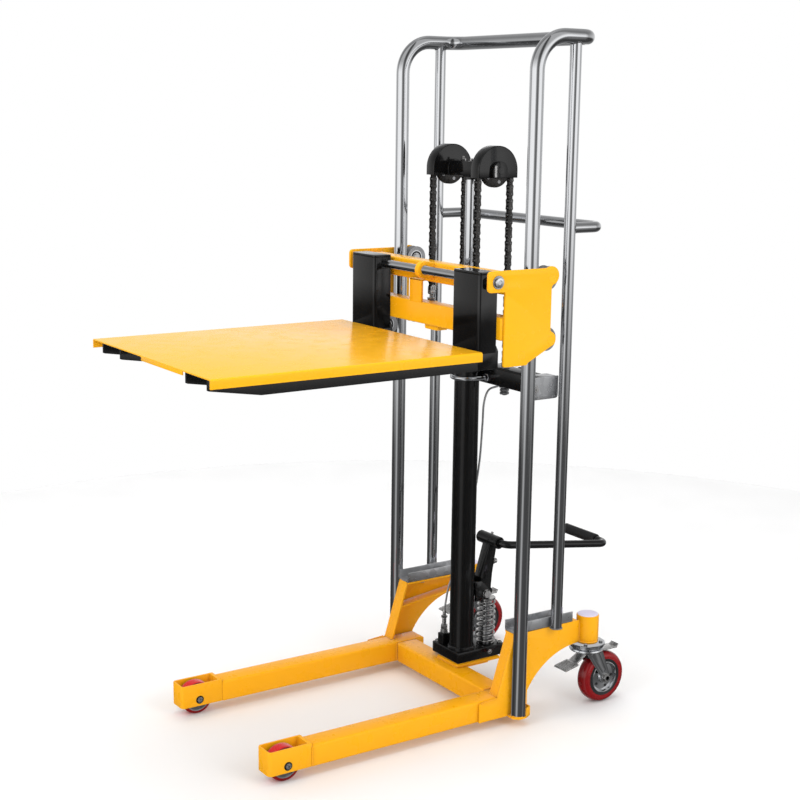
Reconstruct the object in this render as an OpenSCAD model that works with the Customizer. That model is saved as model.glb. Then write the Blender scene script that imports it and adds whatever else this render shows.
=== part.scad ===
// Manual platform stacker: a foot-pumped hydraulic ram lifts a chain-hung platform
// between two pairs of upright poles. The forks point along -Y, the operator stands
// at +Y, and the floor is z = 0. The platform is drawn at the middle of its travel.

/* [Poles] */
// Distance from the centre plane to the axis of each front pole, mm
pole_x = 256; // [220:1:300]
// Diameter of the front poles and of the hoop, mm
pole_d = 32; // [25:1:42]
// Height of the hoop's centre line above the floor, mm
hoop_z = 1550; // [1200:5:1900]
// Radius of the two front bends of the hoop, mm
bend_r = 75; // [50:1:110]
// Distance of the hoop's cross bar behind the front poles, mm
hoop_y = 157; // [140:1:200]
// Diameter of the rear poles, mm
rear_d = 26; // [20:1:30]
// Distance of the rear poles behind the front poles, mm
rear_y = 107; // [90:1:120]
// Height of the push handle above the floor, mm
handle_z = 1140; // [1000:5:1300]

/* [Base] */
// Height of the top of the legs, mm
leg_top = 71; // [60:1:80]
// Height of the underside of the legs, mm
leg_bot = 21; // [15:1:30]
// Distance from the centre plane to the inner side of a leg, mm
leg_in = 182; // [170:1:190]
// Distance from the centre plane to the outer side of a leg, mm
leg_out = 235; // [225:1:235]
// Position of the load roller axles along the legs, mm
load_y = -594; // [-640:1:-560]
// Diameter of the load rollers, mm
load_d = 76; // [70:1:77]
// Diameter of the caster wheels, mm
caster_d = 125; // [100:1:125]
// Distance of the caster axle behind its swivel axis, mm
trail = 46; // [35:1:50]

/* [Lift] */
// Height of the platform's top face in the drawn pose, mm
plat_z = 888; // [700:1:1200]
// Width of the platform, mm
plat_w = 576; // [500:1:600]
// Length of the platform, mm
plat_l = 640; // [500:1:700]
// Thickness of the platform sheet, mm
plat_t = 3; // [2:0.5:5]
// Width of one fork, mm
fork_w = 100; // [80:1:104]
// Distance from the centre plane to the middle of a fork, mm
fork_x = 208; // [208:1:212]
// Height of the pulley axles in the drawn pose, mm
pulley_z = 1260; // [1150:1:1400]
// Distance from the centre plane to each chain, mm
chain_x = 87; // [75:1:100]
// Pitch radius of the chain on its pulley, mm
chain_r = 45; // [40:1:50]
// Diameter of the hydraulic ram's chromed rod, mm
rod_d = 25; // [20:1:35]
// Outside diameter of the hydraulic cylinder, mm
cyl_d = 59; // [50:1:65]

/* [Pump] */
// Position of the pump plunger behind the front poles, mm
pump_y = 95; // [90:1:100]
// Height of the pedal lever's pivot, mm
pivot_z = 238; // [230:1:245]
// Downward slope of the pedal bar toward its grip, degrees
pedal_slope = 7; // [0:0.5:12]
// Length of the pedal bar from its sleeve to its grip, mm
pedal_len = 312; // [250:1:340]

/* [Hidden] */
$fn = 64;

pr = pole_d / 2;
rr = rear_d / 2;
cr = cyl_d / 2;
axis_y = 21;
rear_x = pole_x - pr + rr;
web_x = pole_x - pr;
web_t = 5;
corner_r = 40;
shoe_y = 38;
box_front = load_y - 47;
box_rear = load_y + 58;
bracket_top = 215;
boss_x = 238;
boss_y = 216;
boss_r = 26.5;
boss_z0 = 158;
boss_z1 = 225;
wheel_r = caster_d / 2;
wheel_y = boss_y + trail;
brake_y = boss_y + 19;
brake_z = 130;
plat_front = -790;
plat_rear = plat_front + plat_l;
fork_top = plat_z - plat_t;
fork_rear = -93;
shaft_y = -108;
shaft_z = plat_z + 146;
shaft_r = 9.5;
beam_hi = plat_z + 116;
beam_lo = plat_z + 18;
plate_in = pole_x + pr + 2;
plate_t = 7;
guide_y = 40;
guide_r = guide_y - pr - 0.3;
guide_tz = plat_z + 146;
guide_bz = plat_z + 12;
guide_fz = plat_z - 16;
chan_z0 = 762;
chan_z1 = 806;
chan_y0 = 52;
chan_y1 = 92;
pin_r = 10;
pivot_y = pump_y - 19;
sleeve_y = 102;
sleeve_z = 365;
pedal_end = sleeve_y + pedal_len * cos(pedal_slope) + 13;
org_y = -(plat_front + pedal_end) / 2;

// ---- helpers -------------------------------------------------------------

module place() {
    translate([0, org_y, 0]) children();
}

module both() {
    children();
    mirror([1, 0, 0]) children();
}

module box(x0, x1, y0, y1, z0, z1) {
    translate([x0, y0, z0]) cube([x1 - x0, y1 - y0, z1 - z0]);
}

module xcyl(r, x0, x1, y, z) {
    translate([x0, y, z]) rotate([0, 90, 0]) cylinder(r = r, h = x1 - x0);
}

module ycyl(r, x, y0, y1, z) {
    translate([x, y0, z]) rotate([-90, 0, 0]) cylinder(r = r, h = y1 - y0);
}

module zcyl(r, x, y, z0, z1) {
    translate([x, y, z0]) cylinder(r = r, h = z1 - z0);
}

// A plate of the outline pts, given as [y, z], standing between x0 and x1
module yz_plate(x0, x1, pts) {
    translate([x0, 0, 0])
        rotate([90, 0, 90])
            linear_extrude(x1 - x0)
                polygon(pts);
}

// A hexagon nut or head along z, r is half the width across flats
module hex_z(r, x, y, z0, z1) {
    translate([x, y, z0]) cylinder(r = r / cos(30), h = z1 - z0, $fn = 6);
}

module hex_x(r, x0, x1, y, z) {
    translate([x0, y, z])
        rotate([0, 90, 0])
            cylinder(r = r / cos(30), h = x1 - x0, $fn = 6);
}

// A rod of radius r from point a to point b, with a ball joint at b
module rod(a, b, r) {
    d = b - a;
    len = norm(d);
    translate(a)
        rotate([0, acos(d[2] / len), atan2(d[1], d[0])])
            cylinder(r = r, h = len);
    translate(b) sphere(r = r * 1.04);
}

// ---- base frame ----------------------------------------------------------

module leg_tubes() {
    color("goldenrod") place() both() difference() {
        box(leg_in, leg_out, box_rear, shoe_y, leg_bot, leg_top);
        box(leg_in + 3, leg_out - 3, box_rear + 3, shoe_y + 1, leg_bot + 3, leg_top - 3);
    }
}

// Open-topped housings of the load rollers, with rounded front corners
module roller_boxes() {
    color("goldenrod") place() both() difference() {
        union() {
            box(leg_in + 1, leg_out, box_front + 8, box_rear, leg_bot + 2, leg_top + 5.5);
            box(leg_in + 9, leg_out - 8, box_front, box_front + 9, leg_bot + 2, leg_top + 5.5);
            zcyl(8, leg_in + 9, box_front + 8, leg_bot + 2, leg_top + 5.5);
            zcyl(8, leg_out - 8, box_front + 8, leg_bot + 2, leg_top + 5.5);
        }
        box(leg_in + 5.5, leg_out - 4.5, box_front + 4.5, box_rear - 8, 0, 100);
        xcyl(8, leg_in - 1, leg_out + 1, load_y, load_d / 2);
    }
}

// Cross tube between the legs and the shelf that carries the pump block
module cross_tube() {
    color("goldenrod") place() {
        difference() {
            box(-leg_in, leg_in, -46, 12, leg_bot, leg_top);
            box(-leg_in - 1, leg_in + 1, -43, 9, leg_bot + 3, leg_top - 3);
        }
        box(-48, 42, -18, 110, leg_top, leg_top + 6);
        box(-4, 2, 12, 104, leg_top - 22, leg_top);
    }
}

// Pressed brackets that join each leg, pole foot and caster boss
module side_brackets() {
    color("goldenrod") place() both() {
        difference() {
            yz_plate(web_x - web_t, web_x, [
                [-100, leg_bot], [-100, leg_top - 4], [-52, leg_top], [-46, leg_top],
                [-2, bracket_top], [boss_y - 20, bracket_top], [boss_y - 20, leg_bot]
            ]);
            intersection() {
                xcyl(175.3, web_x - 9, web_x + 4, 190, -15.3);
                box(web_x - 10, web_x + 5, shoe_y, 200, -200, 200);
            }
            zcyl(boss_r, boss_x, boss_y, 100, 300);
        }
        yz_plate(web_x - 35, web_x - web_t, [
            [-46, leg_top], [-2, bracket_top], [3.4, bracket_top], [-40.6, leg_top]
        ]);
        box(web_x - 40, web_x - web_t, -1, boss_y - 30, bracket_top - 5, bracket_top);
        yz_plate(web_x - 35, web_x - web_t, [
            [-18.5, 150], [boss_y - 31, 176], [boss_y - 31, 180], [-17.5, 154]
        ]);
        translate([0, 0, leg_bot])
            linear_extrude(4)
                polygon([
                    [web_x, -20], [web_x + 22, -20], [web_x + 33, -8],
                    [web_x + 33, 10], [web_x + 22, 30], [web_x, 30]
                ]);
        translate([0, 0, leg_bot + 4])
            linear_extrude(19)
                polygon([
                    [web_x + 33, 10], [web_x + 22, 30], [web_x, 30],
                    [web_x, 27], [web_x + 20.3, 27], [web_x + 29.6, 10]
                ]);
    }
}

module caster_bosses() {
    color("goldenrod") place() both() difference() {
        zcyl(boss_r, boss_x, boss_y, boss_z0, boss_z1);
        zcyl(boss_r - 5, boss_x, boss_y, boss_z0 + 12, boss_z1 + 1);
    }
}

module boss_caps() {
    color("lavender") place() both() {
        zcyl(boss_r - 2, boss_x, boss_y, boss_z1, boss_z1 + 2);
        zcyl(boss_r - 5.2, boss_x, boss_y, boss_z1 - 12, boss_z1);
    }
}

// Galvanised channels that tie each front pole to its rear pole
module tie_channels() {
    color("silver") place() both() difference() {
        box(web_x - 40, web_x, -2, 168, bracket_top, bracket_top + 25);
        box(web_x - 37, web_x - 3, -3, 169, bracket_top + 3, bracket_top + 26);
        for (y = [52, 138])
            zcyl(5, web_x - 20, y, bracket_top - 1, bracket_top + 4);
    }
}

// Bolts of the tie channels and the axle bolts of the load rollers
module frame_bolts() {
    color("silver") place() both() {
        for (y = [52, 138]) {
            hex_z(8.5, web_x - 20, y, bracket_top + 3, bracket_top + 10);
            zcyl(4.9, web_x - 20, y, bracket_top, bracket_top + 3);
        }
        xcyl(7.9, leg_in - 2, leg_out + 6, load_y, load_d / 2);
        xcyl(12, leg_in - 5, leg_in + 1, load_y, load_d / 2);
        translate([leg_out, load_y, load_d / 2])
            rotate([0, 90, 0])
                cylinder(r = 13, h = 1.5, $fn = 4);
    }
}

module hoop_solid(r, foot) {
    both() {
        zcyl(r, pole_x, 0, foot, hoop_z - bend_r);
        translate([pole_x, bend_r, hoop_z - bend_r])
            rotate([90, 0, -90])
                rotate_extrude(angle = 90)
                    translate([bend_r, 0])
                        circle(r = r);
        ycyl(r, pole_x, bend_r, hoop_y - corner_r, hoop_z);
        translate([pole_x - corner_r, hoop_y - corner_r, hoop_z])
            rotate_extrude(angle = 90)
                translate([corner_r, 0])
                    circle(r = r);
    }
    xcyl(r, corner_r - pole_x, pole_x - corner_r, hoop_y, hoop_z);
}

// One bent tube: both front poles, the top rails and the cross bar
module front_hoop() {
    color("lightgray") place() difference() {
        hoop_solid(pr, leg_bot + 4);
        hoop_solid(pr - 2.5, leg_bot + 3);
    }
}

module rear_poles() {
    color("lightgray") place() both() difference() {
        zcyl(rr, rear_x, rear_y, 212, hoop_z);
        zcyl(rr - 2, rear_x, rear_y, 211, hoop_z + 1);
        ycyl(pr, pole_x, rear_y - 20, rear_y + 20, hoop_z);
    }
}

// Push handle bent from one tube and welded to the rear poles
module handle_bar() {
    bar_r = 12;
    turn = 24;
    bar_y = 195;
    color("lightgray") place() {
        both() {
            difference() {
                ycyl(bar_r, rear_x, rear_y, bar_y - turn, handle_z);
                zcyl(rr, rear_x, rear_y, handle_z - 30, handle_z + 30);
            }
            translate([rear_x - turn, bar_y - turn, handle_z])
                rotate_extrude(angle = 90)
                    translate([turn, 0])
                        circle(r = bar_r);
        }
        xcyl(bar_r, turn - rear_x, rear_x - turn, bar_y, handle_z);
    }
}

// Galvanised angles between the poles that carry the ends of the mid channel
module mid_plates() {
    color("silver") place() both() {
        difference() {
            box(web_x - 4, web_x, 6, 100, chan_z0 - 4, chan_z1);
            zcyl(pr, pole_x, 0, 700, 900);
            zcyl(rr, rear_x, rear_y, 700, 900);
        }
        box(web_x - 34, web_x, chan_y0, chan_y1, chan_z1, chan_z1 + 4);
    }
}

// Channel that steadies the cylinder and carries the fixed chain ends
module mid_channel() {
    color("#222222") place() {
        difference() {
            box(4 - web_x, web_x - 4, chan_y0, chan_y1, chan_z0, chan_z1);
            box(3 - web_x, web_x - 3, chan_y0 + 4, chan_y1 + 1, chan_z0 + 4, chan_z1 - 4);
            for (s = [-1, 1]) {
                zcyl(6.5, s * chain_x, axis_y + chain_r, chan_z0 - 1, chan_z1 + 1);
                ycyl(5.3, s * 35, chan_y0 - 1, chan_y0 + 5, 776);
            }
        }
        for (x = [20, 36]) difference() {
            box(x, x + 4, chan_y1, chan_y1 + 20, chan_z0 + 14, chan_z1 - 2);
            xcyl(3.05, x - 1, x + 5, chan_y1 + 13, 790);
        }
        box(20, 40, chan_y1 - 4, chan_y1, chan_z0 + 4, chan_z1 - 4);
    }
}

// U-bolt that holds the top of the cylinder to the mid channel
module u_bolt() {
    color("silver") place() {
        translate([0, axis_y, 776])
            rotate([0, 0, 180])
                rotate_extrude(angle = 180)
                    translate([35, 0])
                        circle(r = 5);
        for (s = [-1, 1]) {
            ycyl(5, s * 35, axis_y, chan_y0 + 16, 776);
            translate([s * 35, chan_y0 + 4, 776])
                rotate([-90, 0, 0])
                    cylinder(r = 8.5, h = 8, $fn = 6);
        }
    }
}

// ---- hydraulics ----------------------------------------------------------

module base_block() {
    color("#222222") place() {
        difference() {
            box(-75, 33, -12, 130, leg_top + 6, leg_top + 33);
            zcyl(9.05, 0, pump_y, leg_top + 16, leg_top + 40);
        }
        xcyl(6, 33, 35, 84, leg_top + 20);
        zcyl(cr + 4, 0, axis_y, leg_top + 33, leg_top + 39);
    }
}

module cylinder_tube() {
    color("#222222") place() difference() {
        zcyl(cr, 0, axis_y, leg_top + 39, 815);
        zcyl(cr - 6, 0, axis_y, leg_top + 47, 816);
    }
}

module gland() {
    color("#333333") place() difference() {
        union() {
            zcyl(cr, 0, axis_y, 815, 826);
            zcyl(cr - 6, 0, axis_y, 775, 815);
            zcyl(cr - 6, 0, axis_y, 826, 831);
        }
        zcyl(rod_d / 2 + 0.05, 0, axis_y, 770, 840);
    }
}

// Threaded anchors of the fixed chain ends, with clevises above the channel
module rear_anchors() {
    color("silver") place() both() {
        zcyl(6, chain_x, axis_y + chain_r, 744, chan_z1 + 4);
        hex_z(9.5, chain_x, axis_y + chain_r, chan_z0 - 11, chan_z0);
        hex_z(9.5, chain_x, axis_y + chain_r, chan_z0 - 18, chan_z0 - 13);
        box(chain_x - 7, chain_x + 7, axis_y + chain_r - 6, axis_y + chain_r + 6,
            chan_z1, chan_z1 + 10);
    }
}

// Lowering valve with the screwed adjuster of its cable
module release_valve() {
    color("silver") place() {
        box(-57, -36, -9, 13, leg_top + 33, leg_top + 60);
        zcyl(8, -46, 2, leg_top + 60, leg_top + 70);
        hex_z(7, -46, 2, leg_top + 70, leg_top + 82);
        zcyl(5.5, -46, 2, leg_top + 82, leg_top + 100);
        hex_z(6.5, -46, 2, leg_top + 100, leg_top + 106);
        zcyl(4, -46, 2, leg_top + 106, leg_top + 119);
    }
}

// Sheathed cable from the lowering valve, behind the cylinder, to its lever
module release_cable() {
    pts = [
        [-46, 2, leg_top + 119], [-45, 14, 250], [-38, 45, 330], [-20, 56.5, 430],
        [8, 57, 560], [24, 52, 660], [32, 49, 720], [32, 62, 745], [30, 99, 752],
        [30, 105, 764], [30, 106, 777]
    ];
    color("#cccccc") place()
        for (i = [0 : len(pts) - 2])
            rod(pts[i], pts[i + 1], 2.5);
}

module release_lever() {
    y = chan_y1 + 13;
    color("#222222") place() {
        xcyl(3, 19, 41, y, 790);
        xcyl(7, 25, 35, y, 790);
        yz_plate(27, 33, [
            [y + 3, 786], [y + 3, 794], [y + 50, 788], [y + 52, 784], [y + 48, 781]
        ]);
        translate([30, y + 50, 785]) sphere(r = 7);
    }
}

module pump_barrel() {
    color("#444444") place() difference() {
        zcyl(16, 0, pump_y, leg_top + 33, leg_top + 75);
        zcyl(9.05, 0, pump_y, leg_top + 30, leg_top + 80);
    }
}

// Cheeks on the cylinder that carry the pedal lever's pivot bolt
module pump_bracket() {
    color("#222222") place() {
        both() difference() {
            yz_plate(19, 24, [
                [axis_y, pivot_z - 15], [pivot_y + 8, pivot_z - 15], [pivot_y + 14, pivot_z - 6],
                [pivot_y + 12, pivot_z + 7], [pivot_y - 14, pivot_z + 34], [axis_y, pivot_z + 34]
            ]);
            zcyl(cr, 0, axis_y, 100, 400);
        }
        xcyl(5.95, -24, 24, pivot_y, pivot_z);
        hex_x(9, 24, 31, pivot_y, pivot_z);
        hex_x(9, -31, -24, pivot_y, pivot_z);
    }
}

module plunger() {
    top = pivot_z - 12.3;
    color("silver") place() {
        zcyl(9, 0, pump_y, leg_top + 30, top - 10);
        zcyl(22, 0, pump_y, top - 10, top - 5);
        zcyl(8, 0, pump_y, top - 5, top);
    }
}

module pump_spring() {
    z0 = leg_top + 33;
    z1 = pivot_z - 22.3;
    turns = 9;
    step = (z1 - z0 - 5) / (turns - 1);
    color("silver") place()
        for (i = [0 : turns - 1])
            translate([0, pump_y, z0 + i * step]) difference() {
                cylinder(r = 23, h = 5);
                translate([0, 0, -1]) cylinder(r = 18, h = 7);
            }
}

module pedal_arm() {
    color("#222222") place() difference() {
        union() {
            xcyl(13, -18, 18, pivot_y, pivot_z);
            yz_plate(-14, 14, [
                [pivot_y - 12, pivot_z], [pivot_y - 10, pivot_z + 40], [sleeve_y - 13, sleeve_z - 8],
                [sleeve_y + 11, sleeve_z - 8], [sleeve_y - 1, pivot_z + 46],
                [pivot_y + 22, pivot_z + 12], [pivot_y + 22, pivot_z - 1]
            ]);
            xcyl(10, -9, 9, pump_y + 2, pivot_z - 2);
            xcyl(15, -38, 38, sleeve_y, sleeve_z);
            ycyl(4, 8, sleeve_y - 8, sleeve_y + 10, pivot_z + 74);
            ycyl(7, 8, sleeve_y + 8, sleeve_y + 14, pivot_z + 74);
        }
        xcyl(6, -30, 30, pivot_y, pivot_z);
        xcyl(9.5, -60, 60, sleeve_y, sleeve_z);
    }
}

// Bent pedal bar with its rubber-sleeved tread
module pedal_bar() {
    pts = [
        [40, 0, 0], [58, 14, 0], [77, pedal_len - 24, 0], [56, pedal_len, 0],
        [-80, pedal_len, 0]
    ];
    color("#222222") place()
        translate([0, sleeve_y, sleeve_z])
            rotate([-pedal_slope, 0, 0]) {
                xcyl(9.4, -36, 40, 0, 0);
                translate([40, 0, 0]) sphere(r = 9.8);
                for (i = [0 : len(pts) - 2])
                    rod(pts[i], pts[i + 1], 9.4);
                xcyl(13, -84, 36, pedal_len, 0);
            }
}

// ---- ram and chains ------------------------------------------------------

module piston_rod() {
    color("silver") place() {
        zcyl(rod_d / 2, 0, axis_y, 560, pulley_z - 7);
        zcyl(cr - 6.1, 0, axis_y, 540, 560);
    }
}

module dee(x0, x1) {
    xcyl(20, x0, x1, axis_y, pulley_z);
    box(x0, x1, axis_y - 20, axis_y + 20, pulley_z - 17, pulley_z);
}

// Head of the ram: a bar between the two pulleys with its axle pins
module yoke() {
    color("#222222") place() difference() {
        union() {
            box(-63, 63, axis_y - 15, axis_y + 15, pulley_z - 17, pulley_z + 17);
            both() {
                dee(chain_x - 25, chain_x - 15);
                dee(chain_x + 15, chain_x + 25);
                xcyl(pin_r, chain_x - 16, chain_x + 16, axis_y, pulley_z);
            }
        }
        zcyl(rod_d / 2, 0, axis_y, pulley_z - 20, pulley_z - 7);
        both() box(chain_x - 50, chain_x + 30, axis_y - 30, axis_y + 30, pulley_z - 30, pulley_z - 17);
    }
}

// Half-round hoods over the pulleys
module pulley_covers() {
    out_r = chain_r + 9.5;
    in_r = chain_r + 7;
    color("#222222") place() both() difference() {
        union() {
            xcyl(out_r, chain_x - 15, chain_x + 15, axis_y, pulley_z);
            box(chain_x - 15, chain_x + 15, axis_y - out_r, axis_y + out_r, pulley_z - 17, pulley_z);
        }
        xcyl(in_r, chain_x - 12.5, chain_x + 12.5, axis_y, pulley_z);
        box(chain_x - 12.5, chain_x + 12.5, axis_y - in_r, axis_y + in_r, pulley_z - 80, pulley_z);
        box(chain_x - 20, chain_x + 20, axis_y - 70, axis_y + 70, pulley_z - 90, pulley_z - 17);
        xcyl(pin_r, chain_x - 20, chain_x + 20, axis_y, pulley_z);
    }
}

module pulley(x) {
    difference() {
        union() {
            xcyl(chain_r - 6, x - 8, x + 8, axis_y, pulley_z);
            xcyl(16, x - 12, x + 12, axis_y, pulley_z);
        }
        xcyl(pin_r + 0.05, x - 20, x + 20, axis_y, pulley_z);
    }
}

module pulley_l() {
    color("#333333") place() pulley(-chain_x);
}

module pulley_r() {
    color("#333333") place() pulley(chain_x);
}

module chain_wraps() {
    color("#333333") place() both()
        translate([chain_x, axis_y, pulley_z])
            rotate([90, 0, 90])
                rotate_extrude(angle = 180)
                    translate([chain_r - 5.7, -7])
                        square([11.7, 14]);
}

module chain_front() {
    color("#333333") place() both()
        box(chain_x - 7, chain_x + 7, axis_y - chain_r - 6, axis_y - chain_r + 5.7,
            plat_z + 98, pulley_z);
}

module chain_rear() {
    color("#333333") place() both()
        box(chain_x - 7, chain_x + 7, axis_y + chain_r - 5.7, axis_y + chain_r + 6,
            chan_z1 + 10, pulley_z);
}

// ---- lifting carriage ----------------------------------------------------

module side_plates() {
    x0 = plate_in;
    x1 = plate_in + plate_t;
    top = plat_z + 170;
    color("goldenrod") place() both() difference() {
        union() {
            yz_plate(x0, x1, [
                [-88, plat_z - 39], [-88, plat_z + 124], [-128, plat_z + 124],
                [-134, plat_z + 131], [-134, plat_z + 162], [-127, top],
                [46, top], [39, plat_z + 130], [39, plat_z + 44],
                [50, plat_z + 4], [-23, plat_z - 39]
            ]);
            xcyl(20, x0, x1, guide_y - 2, guide_tz + 7);
            xcyl(17, x0, x1, guide_y - 3, guide_bz + 1);
        }
        xcyl(shaft_r, x0 - 1, x1 + 1, shaft_y, shaft_z);
    }
}

module tube_beam(y0, y1, z0, z1) {
    difference() {
        box(-plate_in, plate_in, y0, y1, z0, z1);
        box(-plate_in - 1, plate_in + 1, y0 + 4, y1 - 4, z0 + 4, z1 - 4);
    }
}

module upper_beam() {
    color("goldenrod") place() tube_beam(-82, -42, beam_hi, beam_hi + 45);
}

// Lower beam with the small stop tab under its middle
module lower_beam() {
    color("goldenrod") place() {
        tube_beam(fork_rear, -53, beam_lo, beam_lo + 50);
        box(-26, 26, -84, -56, beam_lo - 11, beam_lo);
    }
}

// Middle eye of the fork shaft and the strap between the beams
module shaft_hanger() {
    color("goldenrod") place() {
        difference() {
            union() {
                xcyl(20, -7, 7, shaft_y, shaft_z);
                box(-7, 7, shaft_y, -82, shaft_z - 20, shaft_z + 15);
            }
            xcyl(shaft_r, -8, 8, shaft_y, shaft_z);
        }
        box(-78, -30, fork_rear, fork_rear + 6, beam_lo + 50, beam_hi + 4);
        box(-78, -30, fork_rear + 6, -82, beam_hi, beam_hi + 4);
    }
}

module fork_shaft() {
    color("silver") place() {
        xcyl(shaft_r, -plate_in - plate_t, plate_in + plate_t, shaft_y, shaft_z);
        both() xcyl(10.5, plate_in + plate_t, plate_in + plate_t + 7, shaft_y, shaft_z);
    }
}

// One fork: two bent side webs, a top plate, a front plate and a cap
module fork() {
    x0 = fork_x - fork_w / 2;
    x1 = fork_x + fork_w / 2;
    front = plat_rear;
    top = plat_z + 166;
    web = [
        [plat_front + 10, fork_top - 26], [plat_front + 126, plat_z - 47],
        [-86, plat_z - 45], [-86, plat_z - 6], [fork_rear, plat_z + 9],
        [fork_rear, top], [front, top], [front, fork_top], [plat_front + 10, fork_top]
    ];
    difference() {
        union() {
            yz_plate(x0, x0 + 6, web);
            yz_plate(x1 - 6, x1, web);
            box(x0 + 6, x1 - 6, plat_front + 10, front + 6, fork_top - 5, fork_top);
            box(x0 + 6, x1 - 6, front, front + 6, fork_top, top - 6);
            box(x0 + 6, x1 - 6, front, fork_rear, top - 6, top);
        }
        xcyl(shaft_r, x0 - 1, x1 + 1, shaft_y, shaft_z);
    }
}

module fork_r() {
    color("#222222") place() fork();
}

module fork_l() {
    color("#222222") place() mirror([1, 0, 0]) fork();
}

// Folded sheet platform: side lips over the forks and a short front lip
module platform() {
    w = plat_w / 2;
    color("gold") place() {
        difference() {
            union() {
                box(-w + 5, w - 5, plat_front, plat_rear, plat_z - 20, plat_z);
                box(-w, w, plat_front, plat_rear, plat_z - 20, plat_z - 5);
                both() ycyl(5, w - 5, plat_front, plat_rear, plat_z - 5);
            }
            box(-w + 3, w - 3, plat_front - 1, plat_rear + 1, plat_z - 30, fork_top);
        }
        box(-30, 165, plat_front, plat_front + 3, fork_top - 8, fork_top);
    }
}

module roller_pins() {
    color("silver") place() both()
        for (p = [[guide_y, guide_tz], [guide_y, guide_bz], [-guide_y, guide_fz]])
            xcyl(7.95, pole_x - 12, plate_in, p[0], p[1]);
}

// Adjustable chain ends behind the carriage
module front_anchors() {
    y = axis_y - chain_r;
    color("silver") place() both() {
        difference() {
            box(chain_x - 17, chain_x + 17, -53, y + 11, plat_z + 52, plat_z + 60);
            zcyl(5.5, chain_x, y, plat_z + 40, plat_z + 70);
        }
        zcyl(5, chain_x, y, plat_z + 42, plat_z + 88);
        hex_z(8, chain_x, y, plat_z + 45, plat_z + 52);
        hex_z(8, chain_x, y, plat_z + 60, plat_z + 67);
        box(chain_x - 7, chain_x + 7, y - 6, y + 6, plat_z + 84, plat_z + 98);
    }
}

// Grooved guide roller that runs on a front pole
module guide(side, y, z) {
    translate([side * pole_x, y, z])
        rotate([0, 90, 0])
            rotate_extrude()
                difference() {
                    translate([8, -10]) square([19.5, 20]);
                    translate([guide_y, 0]) circle(r = pr + 0.3);
                }
}

module guide_tr() {
    color("#444444") place() guide(1, guide_y, guide_tz);
}

module guide_tl() {
    color("#444444") place() guide(-1, guide_y, guide_tz);
}

module guide_br() {
    color("#444444") place() guide(1, guide_y, guide_bz);
}

module guide_bl() {
    color("#444444") place() guide(-1, guide_y, guide_bz);
}

module guide_fr() {
    color("#444444") place() guide(1, -guide_y, guide_fz);
}

module guide_fl() {
    color("#444444") place() guide(-1, -guide_y, guide_fz);
}

// ---- wheels --------------------------------------------------------------

module load_wheel() {
    mid = (leg_in + leg_out + 1) / 2;
    translate([mid, load_y, load_d / 2])
        rotate([0, 90, 0])
            rotate_extrude()
                polygon([
                    [8, -18], [14, -18], [14, -15], [load_d / 2 - 2, -15], [load_d / 2, -13],
                    [load_d / 2, 13], [load_d / 2 - 2, 15], [14, 15], [14, 18], [8, 18]
                ]);
}

module load_wheel_r() {
    color("firebrick") place() load_wheel();
}

module load_wheel_l() {
    color("firebrick") place() mirror([1, 0, 0]) load_wheel();
}

// Fixed upper halves of the caster swivels, with their king pins
module caster_plates() {
    color("silver") place() both() {
        zcyl(43, boss_x, boss_y, boss_z0 - 5, boss_z0);
        zcyl(39, boss_x, boss_y, boss_z0 - 12, boss_z0 - 5);
        zcyl(6, boss_x, boss_y, boss_z0 - 22, boss_z0 - 12);
    }
}

module caster_fork() {
    color("silver") difference() {
        union() {
            zcyl(41, boss_x, boss_y, boss_z0 - 21, boss_z0 - 12.4);
            for (s = [-1, 1]) {
                a = boss_x + s * 20.5 - 2;
                yz_plate(a, a + 4, [
                    [boss_y - 18, 137], [boss_y + 28, 137], [wheel_y + 13, wheel_r + 6],
                    [wheel_y - 12, wheel_r - 7]
                ]);
                xcyl(14, a, a + 4, wheel_y, wheel_r);
            }
            xcyl(5.95, boss_x - 28, boss_x + 28, wheel_y, wheel_r);
            hex_x(8, boss_x + 22.5, boss_x + 29, wheel_y, wheel_r);
            hex_x(8, boss_x - 29, boss_x - 22.5, wheel_y, wheel_r);
        }
        zcyl(6.05, boss_x, boss_y, 120, 200);
        xcyl(3.05, boss_x - 30, boss_x + 30, brake_y, brake_z);
    }
}

module caster_wheel() {
    color("darkred")
        translate([boss_x, wheel_y, wheel_r])
            rotate([0, 90, 0])
                rotate_extrude()
                    intersection() {
                        translate([6, -17.5]) square([wheel_r - 6, 35]);
                        union() {
                            translate([0, -17.5]) square([wheel_r - 18, 35]);
                            translate([wheel_r - 20, 0]) circle(r = 20);
                        }
                    }
}

module caster_brake() {
    color("silver") {
        difference() {
            yz_plate(boss_x - 15, boss_x + 15, [
                [brake_y + 66, brake_z + 2], [brake_y - 30, brake_z + 2], [brake_y - 62, brake_z - 16],
                [brake_y - 62, brake_z - 19.4], [brake_y - 28, brake_z - 1], [brake_y + 66, brake_z - 1]
            ]);
            box(boss_x - 20, boss_x + 20, brake_y - 26, brake_y - 12, brake_z - 9, brake_z - 1);
        }
        yz_plate(boss_x - 22, boss_x + 22, [
            [brake_y - 62, brake_z - 16], [brake_y - 100, brake_z - 24],
            [brake_y - 99, brake_z - 28], [brake_y - 62, brake_z - 20]
        ]);
        xcyl(3, boss_x - 22, boss_x + 22, brake_y, brake_z);
        yz_plate(boss_x - 12, boss_x + 12, [
            [brake_y - 27, brake_z - 1], [brake_y - 22, brake_z - 20], [brake_y - 17, brake_z - 1]
        ]);
    }
}

module caster_fork_r() {
    place() caster_fork();
}

module caster_fork_l() {
    place() mirror([1, 0, 0]) caster_fork();
}

module caster_wheel_r() {
    place() caster_wheel();
}

module caster_wheel_l() {
    place() mirror([1, 0, 0]) caster_wheel();
}

module caster_brake_r() {
    place() caster_brake();
}

module caster_brake_l() {
    place() mirror([1, 0, 0]) caster_brake();
}

// ---- output --------------------------------------------------------------

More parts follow.
